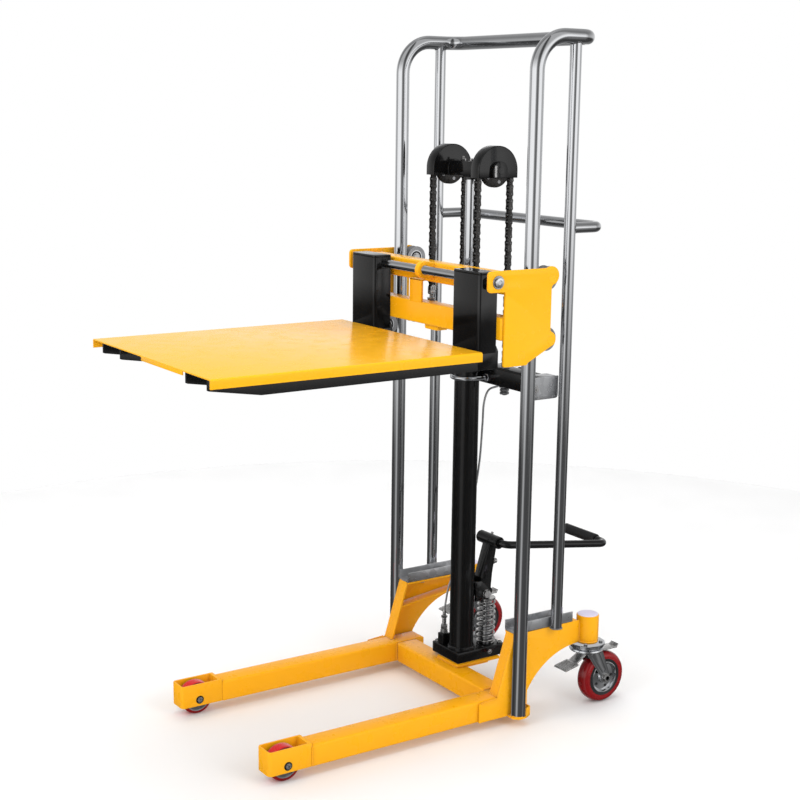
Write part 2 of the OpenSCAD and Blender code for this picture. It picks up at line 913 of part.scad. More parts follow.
leg_tubes();
roller_boxes();
cross_tube();
side_brackets();
caster_bosses();
boss_caps();
tie_channels();
frame_bolts();
front_hoop();
rear_poles();
handle_bar();
mid_plates();
mid_channel();
u_bolt();
base_block();
cylinder_tube();
gland();
rear_anchors();
release_valve();
release_cable();
release_lever();
pump_barrel();
pump_bracket();
caster_plates();
piston_rod();
yoke();
pulley_covers();
pulley_l();
pulley_r();
chain_wraps();
chain_front();
chain_rear();
side_plates();
upper_beam();
lower_beam();
shaft_hanger();
fork_shaft();
fork_l();
fork_r();
platform();
roller_pins();
front_anchors();
guide_tr();
guide_tl();
guide_br();
guide_bl();
guide_fr();
guide_fl();
load_wheel_l();
load_wheel_r();
caster_fork_l();
caster_fork_r();
caster_wheel_l();
caster_wheel_r();
caster_brake_l();
caster_brake_r();
pedal_arm();
pedal_bar();
plunger();
pump_spring();
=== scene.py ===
import bpy
import bmesh
import math
import random
from mathutils import Matrix, Vector


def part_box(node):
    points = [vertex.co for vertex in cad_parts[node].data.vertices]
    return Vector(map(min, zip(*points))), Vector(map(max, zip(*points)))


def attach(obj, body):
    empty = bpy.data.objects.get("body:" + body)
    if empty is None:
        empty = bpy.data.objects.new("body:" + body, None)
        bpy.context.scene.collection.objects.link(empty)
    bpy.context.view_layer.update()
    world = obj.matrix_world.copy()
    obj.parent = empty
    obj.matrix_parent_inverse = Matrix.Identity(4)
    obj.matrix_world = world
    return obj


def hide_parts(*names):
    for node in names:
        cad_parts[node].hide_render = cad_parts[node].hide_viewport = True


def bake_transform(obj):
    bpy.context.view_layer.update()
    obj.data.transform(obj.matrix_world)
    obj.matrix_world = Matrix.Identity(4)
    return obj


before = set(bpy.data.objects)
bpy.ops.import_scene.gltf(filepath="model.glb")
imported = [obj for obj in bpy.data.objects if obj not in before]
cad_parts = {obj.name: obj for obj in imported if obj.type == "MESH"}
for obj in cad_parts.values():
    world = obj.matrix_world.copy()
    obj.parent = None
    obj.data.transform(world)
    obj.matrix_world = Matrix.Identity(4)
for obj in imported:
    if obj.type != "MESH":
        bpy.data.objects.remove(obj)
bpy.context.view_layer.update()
random.seed(7)

# All lengths below are millimetres, with y = 0 at the front poles; ORG moves them into the row frame.
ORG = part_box("platform")[0].y * 1000 + 790


def W(p):
    return Vector((p[0] / 1000, (p[1] + ORG) / 1000, p[2] / 1000))


# ---- shapes: each returns (vertices, faces) in millimetres ----------------

class Shell:
    """A mesh under construction, with the number of a material for each face."""

    def __init__(self):
        self.v = []
        self.f = []
        self.m = []

    def add(self, shape, mat=0):
        n = len(self.v)
        verts, faces = shape
        self.v += [tuple(p) for p in verts]
        self.f += [tuple(i + n for i in f) for f in faces]
        self.m += [mat] * len(faces)
        return self

    def plate(self, pts, radii, n, axis, a, b, edge_highlight=0.8, mat=0, holes=(), seg=1):
        """Adds a slab whose outline is pts with rounded corners."""
        return self.add(slab(rounded(pts, radii, n), axis, a, b, edge_highlight, holes, seg), mat)

    def bead(self, path, r=2.2, closed=False, mat=1):
        return self.add(weld(path, r, closed), mat)

    def flipped(self):
        """The mirror image alone."""
        self.v = [(-x, y, z) for x, y, z in self.v]
        self.f = [tuple(reversed(f)) for f in self.f]
        return self

    def mirrored(self):
        """Both the shape and its mirror image."""
        n = len(self.v)
        self.v += [(-x, y, z) for x, y, z in self.v[:n]]
        count = len(self.f)
        self.f += [tuple(reversed([i + n for i in f])) for f in self.f[:count]]
        self.m += self.m[:count]
        return self


def from_bm(bm):
    verts = [tuple(v.co) for v in bm.verts]
    bm.verts.index_update()
    faces = [tuple(v.index for v in f.verts) for f in bm.faces]
    bm.free()
    return verts, faces


def rbox(x0, x1, y0, y1, z0, z1, r=1.0, seg=2):
    """A box with rounded edges."""
    bm = bmesh.new()
    bmesh.ops.create_cube(bm, size=1)
    for v in bm.verts:
        v.co = Vector(((x0 + x1) / 2 + v.co.x * (x1 - x0), (y0 + y1) / 2 + v.co.y * (y1 - y0),
                       (z0 + z1) / 2 + v.co.z * (z1 - z0)))
    if r > 0:
        bmesh.ops.bevel(bm, geom=bm.edges[:], offset=r, segments=seg, profile=0.5, affect="EDGES")
    return from_bm(bm)


def slab(outline, axis, a, b, r=0.8, holes=(), seg=1):
    """A plate of this outline between a and b along axis, with rounded edges and through holes."""
    cu = bpy.data.curves.new("tmp", "CURVE")
    cu.dimensions = "2D"
    cu.fill_mode = "BOTH"
    lo, hi = min(a, b), max(a, b)
    cu.extrude = (hi - lo) / 2 - r
    cu.bevel_depth = r
    cu.bevel_resolution = seg
    cu.offset = -r
    for loop in [outline] + list(holes):
        sp = cu.splines.new("POLY")
        sp.points.add(len(loop) - 1)
        for q, p in zip(sp.points, loop):
            q.co = (p[0], p[1], 0, 1)
        sp.use_cyclic_u = True
    ob = bpy.data.objects.new("tmp", cu)
    bpy.context.scene.collection.objects.link(ob)
    bpy.context.view_layer.update()
    me = bpy.data.meshes.new_from_object(ob.evaluated_get(bpy.context.evaluated_depsgraph_get()))
    bm = bmesh.new()
    bm.from_mesh(me)
    bmesh.ops.remove_doubles(bm, verts=bm.verts[:], dist=0.01)
    mid = (lo + hi) / 2
    for v in bm.verts:
        u, w, t = v.co
        t = t + mid
        v.co = {"x": (t, u, w), "y": (u, t, w), "z": (u, w, t)}[axis]
    out = from_bm(bm)
    bpy.data.objects.remove(ob)
    bpy.data.curves.remove(cu)
    bpy.data.meshes.remove(me)
    return out


def circle(cx, cy, r, z, n):
    """A level circle of n points."""
    return [(cx + r * math.cos(a), cy + r * math.sin(a),
             z) for a in [2 * math.pi * i / n for i in range(n)]]


def arc(cx, cy, r, a0, a1, n=12):
    """Points of an arc, with angles in degrees."""
    return [(cx + r * math.cos(math.radians(a0 + (a1 - a0) * i / n)),
             cy + r * math.sin(math.radians(a0 + (a1 - a0) * i / n))) for i in range(n + 1)]


def rounded(pts, r, n=4):
    """The closed polygon pts with its corners rounded; r is a number or one number for each corner."""
    out = []
    k = len(pts)
    for i, p in enumerate(pts):
        rad = r[i] if hasattr(r, "__len__") else r
        p = Vector(p)
        a = Vector(pts[i - 1]) - p
        b = Vector(pts[(i + 1) % k]) - p
        la, lb = a.length, b.length
        if rad <= 0 or la < 1e-6 or lb < 1e-6:
            out.append(tuple(p))
            continue
        a.normalize()
        b.normalize()
        ang = a.angle(b)
        if ang > math.pi - 0.02:
            out.append(tuple(p))
            continue
        t = min(rad / math.tan(ang / 2), la * 0.49, lb * 0.49)
        rad = t * math.tan(ang / 2)
        c = p + (a + b).normalized() * (rad / math.sin(ang / 2))
        s, e = p + a * t - c, p + b * t - c
        turn = math.atan2(s.x * e.y - s.y * e.x, s.dot(e))
        for j in range(n + 1):
            q = turn * j / n
            out.append((c.x + s.x * math.cos(q) - s.y * math.sin(q),
                        c.y + s.x * math.sin(q) + s.y * math.cos(q)))
    return out


def place(shape, origin, zdir, xdir=None):
    """Moves a shape so that its own z axis lies along zdir and its origin is at origin."""
    z = Vector(zdir).normalized()
    x = Vector(xdir) if xdir is not None else (Vector((1, 0, 0)) if abs(z.x) < 0.9 else Vector((0, 1, 0)))
    x = (x - z * x.dot(z)).normalized()
    y = z.cross(x)
    o = Vector(origin)
    return [tuple(o + x * p[0] + y * p[1] + z * p[2]) for p in shape[0]], shape[1]


AXES = {"x": (1, 0, 0), "y": (0, 1, 0), "z": (0, 0, 1)}


def direction(axis):
    return AXES[axis] if isinstance(axis, str) else axis


def lathe(profile, origin, axis="z", seg=48, closed=False):
    """A turned shape: profile is (radius, distance along the axis), from one end to the other."""
    verts, faces, rings = [], [], []
    for r, h in profile:
        if r < 1e-6:
            rings.append([len(verts)])
            verts.append((0, 0, h))
        else:
            rings.append(list(range(len(verts), len(verts) + seg)))
            verts += [(r * math.cos(2 * math.pi * i / seg), r * math.sin(2 * math.pi * i / seg),
                       h) for i in range(seg)]
    pairs = list(zip(rings, rings[1:]))
    if closed:
        pairs.append((rings[-1], rings[0]))
    for p, q in pairs:
        if len(p) == 1 and len(q) == 1:
            continue
        for i in range(seg):
            j = (i + 1) % seg
            if len(p) == 1:
                faces.append((p[0], q[j], q[i]))
            elif len(q) == 1:
                faces.append((p[i], p[j], q[0]))
            else:
                faces.append((p[i], p[j], q[j], q[i]))
    if not closed:
        if len(rings[0]) > 1:
            faces.append(tuple(reversed(rings[0])))
        if len(rings[-1]) > 1:
            faces.append(tuple(rings[-1]))
    return place((verts, faces), origin, direction(axis))


def ring(r0, r1, h0, h1, origin, axis="z", c=0.6, seg=48):
    """A turned ring between radii r0 and r1 with chamfered edges."""
    return lathe([(r0, h0 + c), (r0 + c, h0), (r1 - c, h0), (r1, h0 + c), (r1, h1 - c), (r1 - c, h1),
                  (r0 + c, h1), (r0, h1 - c)], origin, axis, seg, closed=True)


def disc(r, h0, h1, origin, axis="z", c=0.8, seg=48):
    """A turned disc or pin with chamfered ends."""
    return lathe([(0, h0), (r - c, h0), (r, h0 + c), (r, h1 - c), (r - c, h1), (0, h1)], origin, axis,
                 seg)


def fillet(pts, radii, n=10):
    """An open path in space through pts with its inner corners rounded."""
    out = [Vector(pts[0])]
    for i in range(1, len(pts) - 1):
        p = Vector(pts[i])
        a = (Vector(pts[i - 1]) - p)
        b = (Vector(pts[i + 1]) - p)
        rad = radii[i - 1] if hasattr(radii, "__len__") else radii
        la, lb = a.length, b.length
        a.normalize()
        b.normalize()
        ang = a.angle(b)
        if rad <= 0 or ang > math.pi - 0.03:
            out.append(p)
            continue
        t = min(rad / math.tan(ang / 2), la * 0.49 if i > 1 else la * 0.98,
                lb * 0.49 if i < len(pts) - 2 else lb * 0.98)
        rad = t * math.tan(ang / 2)
        c = p + (a + b).normalized() * (rad / math.sin(ang / 2))
        s, e = p + a * t - c, p + b * t - c
        axis = s.cross(e).normalized()
        turn = s.angle(e)
        for j in range(n + 1):
            out.append(c + Matrix.Rotation(turn * j / n, 3, axis) @ s)
    out.append(Vector(pts[-1]))
    return out


def tube(path, r, seg=16, closed=False):
    """A round bar swept along path; r is a number or a function of the point's number."""
    pts = [Vector(p) for p in path]
    n = len(pts)
    verts, faces = [], []
    prev = None
    for i, p in enumerate(pts):
        if closed:
            d = (pts[(i + 1) % n] - pts[i - 1]).normalized()
        else:
            d = (pts[min(i + 1, n - 1)] - pts[max(i - 1, 0)]).normalized()
        if prev is None:
            side = Vector((0, 0, 1)) if abs(d.z) < 0.9 else Vector((1, 0, 0))
        else:
            side = prev
        side = (side - d * side.dot(d)).normalized()
        prev = side
        up = d.cross(side)
        rad = r(i) if callable(r) else r
        for k in range(seg):
            q = 2 * math.pi * k / seg
            verts.append(tuple(p + side * rad * math.cos(q) + up * rad * math.sin(q)))
    for i in range(n if closed else n - 1):
        a, b = i * seg, ((i + 1) % n) * seg
        for k in range(seg):
            m = (k + 1) % seg
            faces.append((a + k, a + m, b + m, b + k))
    if not closed:
        faces.append(tuple(reversed(range(seg))))
        faces.append(tuple(range((n - 1) * seg, n * seg)))
    return verts, faces


WELD_STEP = 2.4 / 3


def weld(path, r=2.2, closed=False):
    """A weld bead: an uneven rippled bar along path."""
    pts = [Vector(p) for p in path]
    if closed:
        pts.append(pts[0].copy())
    dense = []
    for a, b in zip(pts, pts[1:]):
        k = max(1, int(round((b - a).length / WELD_STEP)))
        dense += [a.lerp(b, j / k) for j in range(k)]
    if not closed:
        dense.append(pts[-1])
    wob = [random.uniform(0.9, 1.1) for _ in dense]
    return tube(dense, lambda i: r * (0.78 + 0.22 * abs(math.sin(math.pi * i / 6))) * wob[i], seg=8,
                closed=closed)


def hexhead(r, h, origin, axis="z"):
    """A hexagon nut or bolt head with chamfered corners; r is half its width across flats."""
    rc = r / math.cos(math.pi / 6)
    v, f = [], []
    for rad, z in ((rc * 0.93, 0), (rc, h * 0.12), (rc, h * 0.86), (rc * 0.91, h)):
        v += [(rad * math.cos(math.pi * k / 3), rad * math.sin(math.pi * k / 3), z) for k in range(6)]
    for a in range(3):
        for k in range(6):
            m = (k + 1) % 6
            f.append((a * 6 + k, a * 6 + m, a * 6 + 6 + m, a * 6 + 6 + k))
    f.append(tuple(reversed(range(6))))
    f.append(tuple(range(18, 24)))
    return place((v, f), origin, direction(axis))


def thread(r, h0, h1, origin, axis="z", pitch=1.75, seg=20):
    """A bar with thread grooves, as turned rings."""
    prof = [(0, h0), (r - 1, h0)]
    h = h0 + 0.6
    while h < h1 - pitch:
        prof += [(r, h), (r - 0.55, h + pitch / 2)]
        h += pitch
    prof += [(r - 1, h1), (0, h1)]
    return lathe(prof, origin, axis, seg)


def bolt(sh, x, y, z, axis, r, h, mat, stub):
    """A washer, a nut and the end of a bolt, standing out from (x, y, z) along axis."""
    d = Vector(direction(axis))
    o = Vector((x, y, z))
    washer = 1.6
    sh.add(disc(r * 1.45, 0, washer, o, d, 0.4, 32), mat)
    sh.add(hexhead(r, h, o + d * washer, d), mat)
    sh.add(thread(r * 0.6, washer + h - 0.5, washer + h + stub, o, d), mat)


# ---- objects -------------------------------------------------------------

SMOOTH_BELOW = math.radians(32)


def build(name, sh, mats, node, body="frame"):
    """Makes the piece that stands for this node. body is a body, or (body, body, start, end), whose contents
    are not used: the piece then has its place baked in and belongs to no body.
    """
    me = bpy.data.meshes.new(name)
    me.from_pydata([tuple(W(p)) for p in sh.v], [], sh.f)
    me.polygons.foreach_set("material_index", sh.m)
    for m in mats:
        me.materials.append(m)
    bm = bmesh.new()
    bm.from_mesh(me)
    bmesh.ops.recalc_face_normals(bm, faces=bm.faces[:])
    bm.to_mesh(me)
    bm.free()
    me.polygons.foreach_set("use_smooth", [True] * len(me.polygons))
    me.set_sharp_from_angle(angle=SMOOTH_BELOW)
    me.update()
    ob = bpy.data.objects.new(name, me)
    bpy.context.scene.collection.objects.link(ob)
    if isinstance(body, str):
        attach(ob, body)
    else:
        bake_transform(ob)
    # The polished tubes would otherwise take on the colour of the paint around them.
    ob.visible_glossy = mats[0] not in (YELLOW, ORANGE)
    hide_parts(node)


# ---- materials -----------------------------------------------------------

class Nodes:
    """Short ways to add the nodes that the materials and the world share."""

    def __init__(self, tree):
        self.new = tree.nodes.new
        self.link = tree.links.new

    def noise(self, at, scale, detail=2.0):
        node = self.new("ShaderNodeTexNoise")
        node.inputs["Scale"].default_value = scale
        node.inputs["Detail"].default_value = detail
        self.link(at, node.inputs["Vector"])
        return node.outputs["Fac"]

    def ranged(self, value, low=0.0, high=1.0, to_low=0.0, to_high=1.0):
        node = self.new("ShaderNodeMapRange")
        for socket, number in (("From Min", low), ("From Max", high), ("To Min", to_low),
                ("To Max", to_high)):
            node.inputs[socket].default_value = number
        self.link(value, node.inputs["Value"])
        return node.outputs["Result"]

    def mix(self, a, b, factor=1.0, kind="MIX"):
        """Mixes colours; b and factor are sockets or plain values."""
        node = self.new("ShaderNodeMix")
        node.data_type = "RGBA"
        node.blend_type = kind
        self.link(a, node.inputs[6])
        for value, socket in ((b, node.inputs[7]), (factor, node.inputs["Factor"])):
            if isinstance(value, bpy.types.NodeSocket):
                self.link(value, socket)
            else:
                socket.default_value = value
        return node.outputs[2]

    def vector(self, kind, a, b):
        node = self.new("ShaderNodeVectorMath")
        node.operation = kind
        self.link(a, node.inputs[0])
        if isinstance(b, bpy.types.NodeSocket):
            self.link(b, node.inputs[1])
        else:
            node.inputs[1].default_value = b
        return node.outputs["Value"]

    def math(self, kind, a, b):
        node = self.new("ShaderNodeMath")
        node.operation = kind
        self.link(a, node.inputs[0])
        self.link(b, node.inputs[1])
        return node.outputs["Value"]


def material(name, color, rough=0.3, metal=0.0, coat=0.0, spread=0.05, scale=18.0, bump=0.0,
             bump_scale=300.0, stretch=(1, 1, 1), edge_highlight=None, edge_size=0.0012, cells=0.0, corner_shade=0.0,
             shine=0.5):
    """A surface: uneven colour and roughness, fine bumps, crystals (cells), painted shade darkening corners
    and recesses, and painted highlights along edges in patches of a given colour. Lengths here are metres."""
    m = bpy.data.materials.new(name)
    m.use_nodes = True
    t = Nodes(m.node_tree)
    bsdf = m.node_tree.nodes["Principled BSDF"]
    bsdf.inputs["Metallic"].default_value = metal
    bsdf.inputs["Coat Weight"].default_value = coat
    bsdf.inputs["Coat Roughness"].default_value = 0.06
    bsdf.inputs["Specular IOR Level"].default_value = shine
    at = t.new("ShaderNodeTexCoord").outputs["Object"]
    mapping = t.new("ShaderNodeMapping")
    mapping.inputs["Scale"].default_value = stretch
    t.link(at, mapping.inputs["Vector"])
    drawn = mapping.outputs["Vector"]
    ramp = t.new("ShaderNodeValToRGB")
    for stop, position, level in zip(ramp.color_ramp.elements, (0.3, 0.7), (1 - spread, 1 + spread)):
        stop.position = position
        stop.color = [min(1, max(0, c * level)) for c in color] + [1]
    t.link(t.noise(drawn, scale, 6.0), ramp.inputs["Fac"])
    out = ramp.outputs["Color"]
    if cells:
        crystals = t.new("ShaderNodeTexVoronoi")
        crystals.inputs["Scale"].default_value = cells
        t.link(at, crystals.inputs["Vector"])
        grey = t.new("ShaderNodeRGBToBW")
        t.link(crystals.outputs["Color"], grey.inputs["Color"])
        out = t.mix(out, t.ranged(grey.outputs["Val"], 0, 1, 0.72, 1.12), 1.0, "MULTIPLY")
    # Painted shade: the colour darkens where ambient occlusion finds other surfaces near, in corners and
    # recesses.
    if corner_shade:
        corners = t.new("ShaderNodeAmbientOcclusion")
        corners.inputs["Distance"].default_value = 0.012
        corners.samples = 4
        out = t.mix(out, t.ranged(corners.outputs["AO"], 0.2, 0.9, 1 - corner_shade, 1.0), 1.0, "MULTIPLY")
    # Painted highlight: a lighter colour along edges, where the bevel normal turns from the face normal,
    # broken into noisy patches.
    if edge_highlight is not None:
        bevel = t.new("ShaderNodeBevel")
        bevel.samples = 4
        bevel.inputs["Radius"].default_value = edge_size
        facing = t.new("ShaderNodeNewGeometry").outputs["Normal"]
        at_edge = t.ranged(t.vector("DOT_PRODUCT", bevel.outputs["Normal"], facing), 0.99, 0.86)
        highlight_patches = t.ranged(t.noise(at, 90.0), 0.45, 0.7)
        out = t.mix(out, list(edge_highlight) + [1], t.math("MULTIPLY", at_edge, highlight_patches))
    t.link(out, bsdf.inputs["Base Color"])
    uneven = t.noise(drawn, scale * 3.1, 4.0)
    t.link(t.ranged(uneven, 0.3, 0.7, max(0.02, rough * 0.76), rough * 1.24), bsdf.inputs["Roughness"])
    if bump:
        relief = t.new("ShaderNodeBump")
        relief.inputs["Strength"].default_value = bump
        relief.inputs["Distance"].default_value = 0.0006
        t.link(t.noise(drawn, bump_scale, 3.0), relief.inputs["Height"])
        t.link(relief.outputs["Normal"], bsdf.inputs["Normal"])
    return m


YELLOW = material("yellow_gloss_paint", (0.97, 0.47, 0.008), 0.24, coat=0.12, spread=0.012, scale=9,
                  bump=0.03, bump_scale=170, edge_highlight=(1.0, 0.58, 0.06), corner_shade=0.25, shine=0.3)
ORANGE = material("frame_yellow_paint", (0.97, 0.44, 0.004), 0.3, coat=0.12, spread=0.015, scale=10,
                  bump=0.04, bump_scale=200, edge_highlight=(1.0, 0.54, 0.03), edge_size=0.0008, corner_shade=0.3,
                  shine=0.3)
BLACK = material("black_gloss_paint", (0.004, 0.004, 0.0042), 0.14, coat=0.25, spread=0.25, bump=0.03,
                 bump_scale=160, edge_highlight=(0.05, 0.05, 0.052), edge_size=0.0008, corner_shade=0.2)
CHROME = material("polished_tube", (0.80, 0.81, 0.83), 0.09, metal=1.0, spread=0.03, scale=30, bump=0.02,
                  bump_scale=500, stretch=(1, 1, 0.08))
ROD = material("hard_chrome", (0.84, 0.85, 0.87), 0.08, metal=1.0, spread=0.03, scale=40,
               stretch=(1, 1, 0.05))
ZINC = material("galvanised_sheet", (0.72, 0.73, 0.75), 0.34, metal=0.9, spread=0.08, cells=70, bump=0.08,
                edge_highlight=(0.9, 0.9, 0.9), corner_shade=0.3)
BOLT = material("plated_bolt", (0.72, 0.71, 0.70), 0.26, metal=1.0, spread=0.1, scale=60, bump=0.08,
                bump_scale=700, edge_highlight=(0.9, 0.9, 0.9), corner_shade=0.4)
STEEL = material("turned_steel", (0.46, 0.46, 0.47), 0.33, metal=1.0, spread=0.12, scale=60, bump=0.06,
                 bump_scale=900, corner_shade=0.4)
CHAIN = material("oiled_chain", (0.085, 0.082, 0.08), 0.3, metal=0.8, spread=0.35, scale=90, bump=0.12,
                 bump_scale=900, edge_highlight=(0.3, 0.3, 0.3), edge_size=0.0006, corner_shade=0.5)
PINS = material("chain_pin_ends", (0.20, 0.20, 0.20), 0.3, metal=1.0, spread=0.2, scale=120)
RED = material("red_urethane", (0.66, 0.010, 0.012), 0.28, coat=0.2, spread=0.08, bump=0.06,
               bump_scale=500)
# Dark red: the caster tyres' own colour, and painted shade on the side faces of the load wheel tyres, darker
# than their lit tread.
DARKRED_AND_SIDE_SHADE = material("dark_red_urethane_and_side_shade", (0.235, 0.002, 0.004), 0.24, coat=0.35, spread=0.10, bump=0.05,
                   bump_scale=350, corner_shade=0.25)
PLASTIC = material("black_plastic", (0.014, 0.014, 0.015), 0.42, spread=0.25, bump=0.12, bump_scale=700)
RUBBER = material("tread_rubber", (0.012, 0.012, 0.013), 0.5, spread=0.3, bump=0.25, bump_scale=600)
LILAC = material("lilac_cap", (0.70, 0.66, 0.83), 0.42, spread=0.04, bump=0.05, bump_scale=500)
SHEATH = material("cable_sheath", (0.42, 0.43, 0.44), 0.35, metal=0.6, spread=0.1, bump=0.1,
                  bump_scale=900)
WELD_Y = material("painted_weld", (0.97, 0.42, 0.005), 0.34, coat=0.1, spread=0.06, bump=0.25,
                  bump_scale=500, corner_shade=0.4)
WELD_S = material("polished_weld", (0.5, 0.5, 0.51), 0.4, metal=1.0, spread=0.15, bump=0.3,
                  bump_scale=700)

# Places that several pieces share, in millimetres.
POLE_X, REAR_X, HOOP_Z, HANDLE_Z = 256, 253, 1550, 1140
RAM, PLUNGER, VALVE, STEM = (0, 21, 0), (0, 95, 0), (-46, 2, 0), (238, 216, 0)
SHAFT, PULLEY_AXLE, LEVER_PIN = (0, -108, 1034), (0, 21, 1260), (0, 105, 790)
PEDAL_PIN, PEDAL_AT = (0, 76, 238), (0, 102, 365)
ROLLER_AXLE, CASTER_AXLE = (0, -594, 38), (0, 262, 62.5)
GUIDES = ((40, 1034), (40, 900), (-40, 872))

# ---- base frame ----------------------------------------------------------

def both_sides(fn):
    sh = Shell()
    fn(sh)
    return sh.mirrored()


def legs(sh):
    sh.add(rbox(182, 235, -537, 38, 21, 71, 5, 3))
    sh.bead([(184, -536, 71.3), (233, -536, 71.3)], 2.0)
    sh.bead([(235.3, -536, 26), (235.3, -536, 68)], 2.0)
    sh.bead([(181.6, -44, 71), (181.6, 10, 71)], 2.4)
    sh.bead([(181.4, -46.4, 26), (181.4, -46.4, 68)], 2.4)
    sh.add(rbox(186, 231, 36, 39, 25, 67, 1.0))


build("leg_tubes_shell", both_sides(legs), [ORANGE, WELD_Y], "leg_tubes")


def roller_box(sh):
    outer = rounded([(183, -640), (235, -640), (235, -536), (183, -536)], [9, 9, 1.5, 1.5], 6)
    inner = rounded([(187.5, -635.5), (230.5, -635.5), (230.5, -545), (187.5, -545)], [5, 5, 2, 2], 5)
    sh.add(slab(outer, "z", 23, 76.5, 1.0, [inner]))
    # Painted shade: a thin black ring round each axle bolt stands for the dark hole it passes through; the
    # plate has no hole there.
    sh.add(ring(5.2, 9.6, -0.9, 0.3, (235.5, -594, 38), "x", 0.3), 1)
    sh.add(ring(5.2, 9.6, -0.3, 0.9, (182.5, -594, 38), "x", 0.3), 1)


build("roller_boxes_shell", both_sides(roller_box), [ORANGE, BLACK], "roller_boxes")


def bracket(sh):
    web = [(-100, 21), (-100, 67), (-52, 71), (-46, 71), (-2, 215), (189.6, 215), (189.6, 160)]
    web += arc(190, -15.3, 175.3, 90, 150.2, 24)[1:] + [(38, 21)]
    sh.plate(web, [2, 2, 0, 4, 5, 0] + [0] * (len(web) - 6), 3, "x", 235, 240, 1.2)
    flange = [(-46, 71), (-2, 215), (3.4, 215), (-40.6, 71)]
    sh.add(slab(flange, "x", 205, 236.5, 1.2))
    sh.add(tube([(236, -43.2, 71), (236, 0.6, 215)], 3.9, 16))
    sh.add(rbox(200, 236, -1, 186, 210, 215, 1.0))
    sh.add(tube([(236.2, 0, 211.3), (236.2, 186, 211.3)], 3.7, 16))
    sh.add(slab([(-18.5, 150), (185, 176), (185, 180), (-17.5, 154)], "x", 205, 236, 0.8))
    cup = [(240, -20), (262, -20), (273, -8), (273, 10), (262, 30), (240, 30)]
    sh.plate(cup, [0, 5, 5, 5, 5, 0], 3, "z", 21, 25)
    sh.add(slab([(273, 10), (262, 30), (240, 30), (240, 27), (260.3, 27), (269.6, 10)], "z", 22, 44, 0.6))
    sh.bead([(256, 16.4, 25.5), (262, 15, 25.5), (268, 11.5, 25.5)], 2.2)
    sh.bead([(256, -16.4, 25.5), (264, -14.6, 25.5), (270, -8, 25.5), (272, 2, 25.5)], 2.0)
    sh.bead([(240.8, -3, 30), (240.8, -3, 206)], 1.8)
    sh.bead([(206, -46, 71.8), (234, -46, 71.8)], 2.2)
    sh.bead([(240.4, -96, 68.2), (240.4, -50, 71.5)], 1.6)
    sh.bead([(240.2, 189, 164), (240.2, 189, 211)], 1.8)
    sh.bead([(234.8, 189, 164), (234.8, 189, 208)], 1.8)


build("side_brackets_shell", both_sides(bracket), [ORANGE, WELD_Y], "side_brackets")

sh = Shell()
sh.add(rbox(-182, 182, -46, 12, 21, 71, 5, 3))
sh.plate([(-48, -18), (42, -18), (42, 110), (-48, 110)], 6, 4, "z", 71.2, 77, 0.9)
sh.add(rbox(-4, 2, 12, 104, 49, 71.4, 0.8))
sh.bead([(-46, 12.6, 71.4), (40, 12.6, 71.4)], 2.0)
sh.bead([(-47, -18.4, 72), (41, -18.4, 72)], 1.8)
build("cross_tube_shell", sh, [ORANGE, WELD_Y], "cross_tube")


def boss(sh):
    o = STEM
    sh.add(lathe([(21.5, 226), (21.5, 170), (25, 158), (26, 158), (26.5, 159), (26.5, 224), (25.5, 225),
                  (22, 225)], o, "z", 64))
    loop = [(238 + 27 * math.cos(a), 216 + 27 * math.sin(a),
             163) for a in [math.radians(180 + 200 * i / 30) for i in range(31)]]
    sh.bead(loop, 2.4)


build("caster_bosses_shell", both_sides(boss), [ORANGE, WELD_Y], "caster_bosses")


def cap(sh):
    sh.add(lathe([(0, 213), (21.2, 213), (21.2, 224.6), (24, 224.7), (24.6, 225.3), (24.4, 226.4),
                  (22.5, 227.2), (12, 227.0), (0, 226.8)], STEM, "z", 64))
    sh.add(ring(17.5, 19, 226.4, 227.4, STEM, "z", 0.3, 64))


build("boss_caps_shell", both_sides(cap), [LILAC], "boss_caps")


def tie(sh):
    c = [(200, 240), (200, 215), (240, 215), (240, 240), (237, 240), (237, 218), (203, 218), (203, 240)]
    sh.plate(c, [0.5, 4, 4, 0.5, 0.5, 1.5, 1.5, 0.5], 4, "y", -2, 168, 0.5)


build("tie_channels_shell", both_sides(tie), [ZINC], "tie_channels")


def frame_bolt(sh):
    for y in (52, 138):
        bolt(sh, 220, y, 218, "z", 8.5, 6, 0, 4)
        sh.add(hexhead(8.5, 6, (220, y, 204)))
    for x, d in ((235.2, 1), (182.8, -1)):
        sh.add(hexhead(6.2, 3.4, (x, -594, 38), (d, 0, 0)))
        sh.add(ring(2.6, 4.6, 3.0, 4.4, (x, -594, 38), (d, 0, 0), 0.5, 28))
    sh.add(disc(7.9, 183, 235, ROLLER_AXLE, "x", 0.5, 32))


build("frame_bolts_shell", both_sides(frame_bolt), [BOLT], "frame_bolts")

# ---- poles ---------------------------------------------------------------

hoop = fillet([(POLE_X, 0, 25), (POLE_X, 0, HOOP_Z), (POLE_X, 157, HOOP_Z), (-POLE_X, 157, HOOP_Z),
               (-POLE_X, 0, HOOP_Z), (-POLE_X, 0, 25)], [75, 40, 40, 75], 16)
build("hoop_tube", Shell().add(tube(hoop, 16, 48)), [CHROME], "front_hoop")


def saddle(x, y, z, r, big, axis):
    pts = []
    for i in range(40):
        a = 2 * math.pi * i / 40
        if axis == "z":
            dx = r * math.cos(a)
            pts.append((x + dx, y + r * math.sin(a),
                        z - math.sqrt(max(0, big * big - (x + dx - POLE_X) ** 2))))
        else:
            dx = r * math.cos(a)
            pts.append((x + dx, y + math.sqrt(max(0, big * big - dx * dx)), z + r * math.sin(a)))
    return pts


def rear(sh):
    sh.add(tube([(REAR_X, 107, 215), (REAR_X, 107, 1540)], 13, 40))
    sh.bead(saddle(REAR_X, 107, HOOP_Z, 13.3, 16.4, "z"), 1.5, True)
    sh.bead(circle(REAR_X, 107, 13.4, 216, 28), 1.7, True)


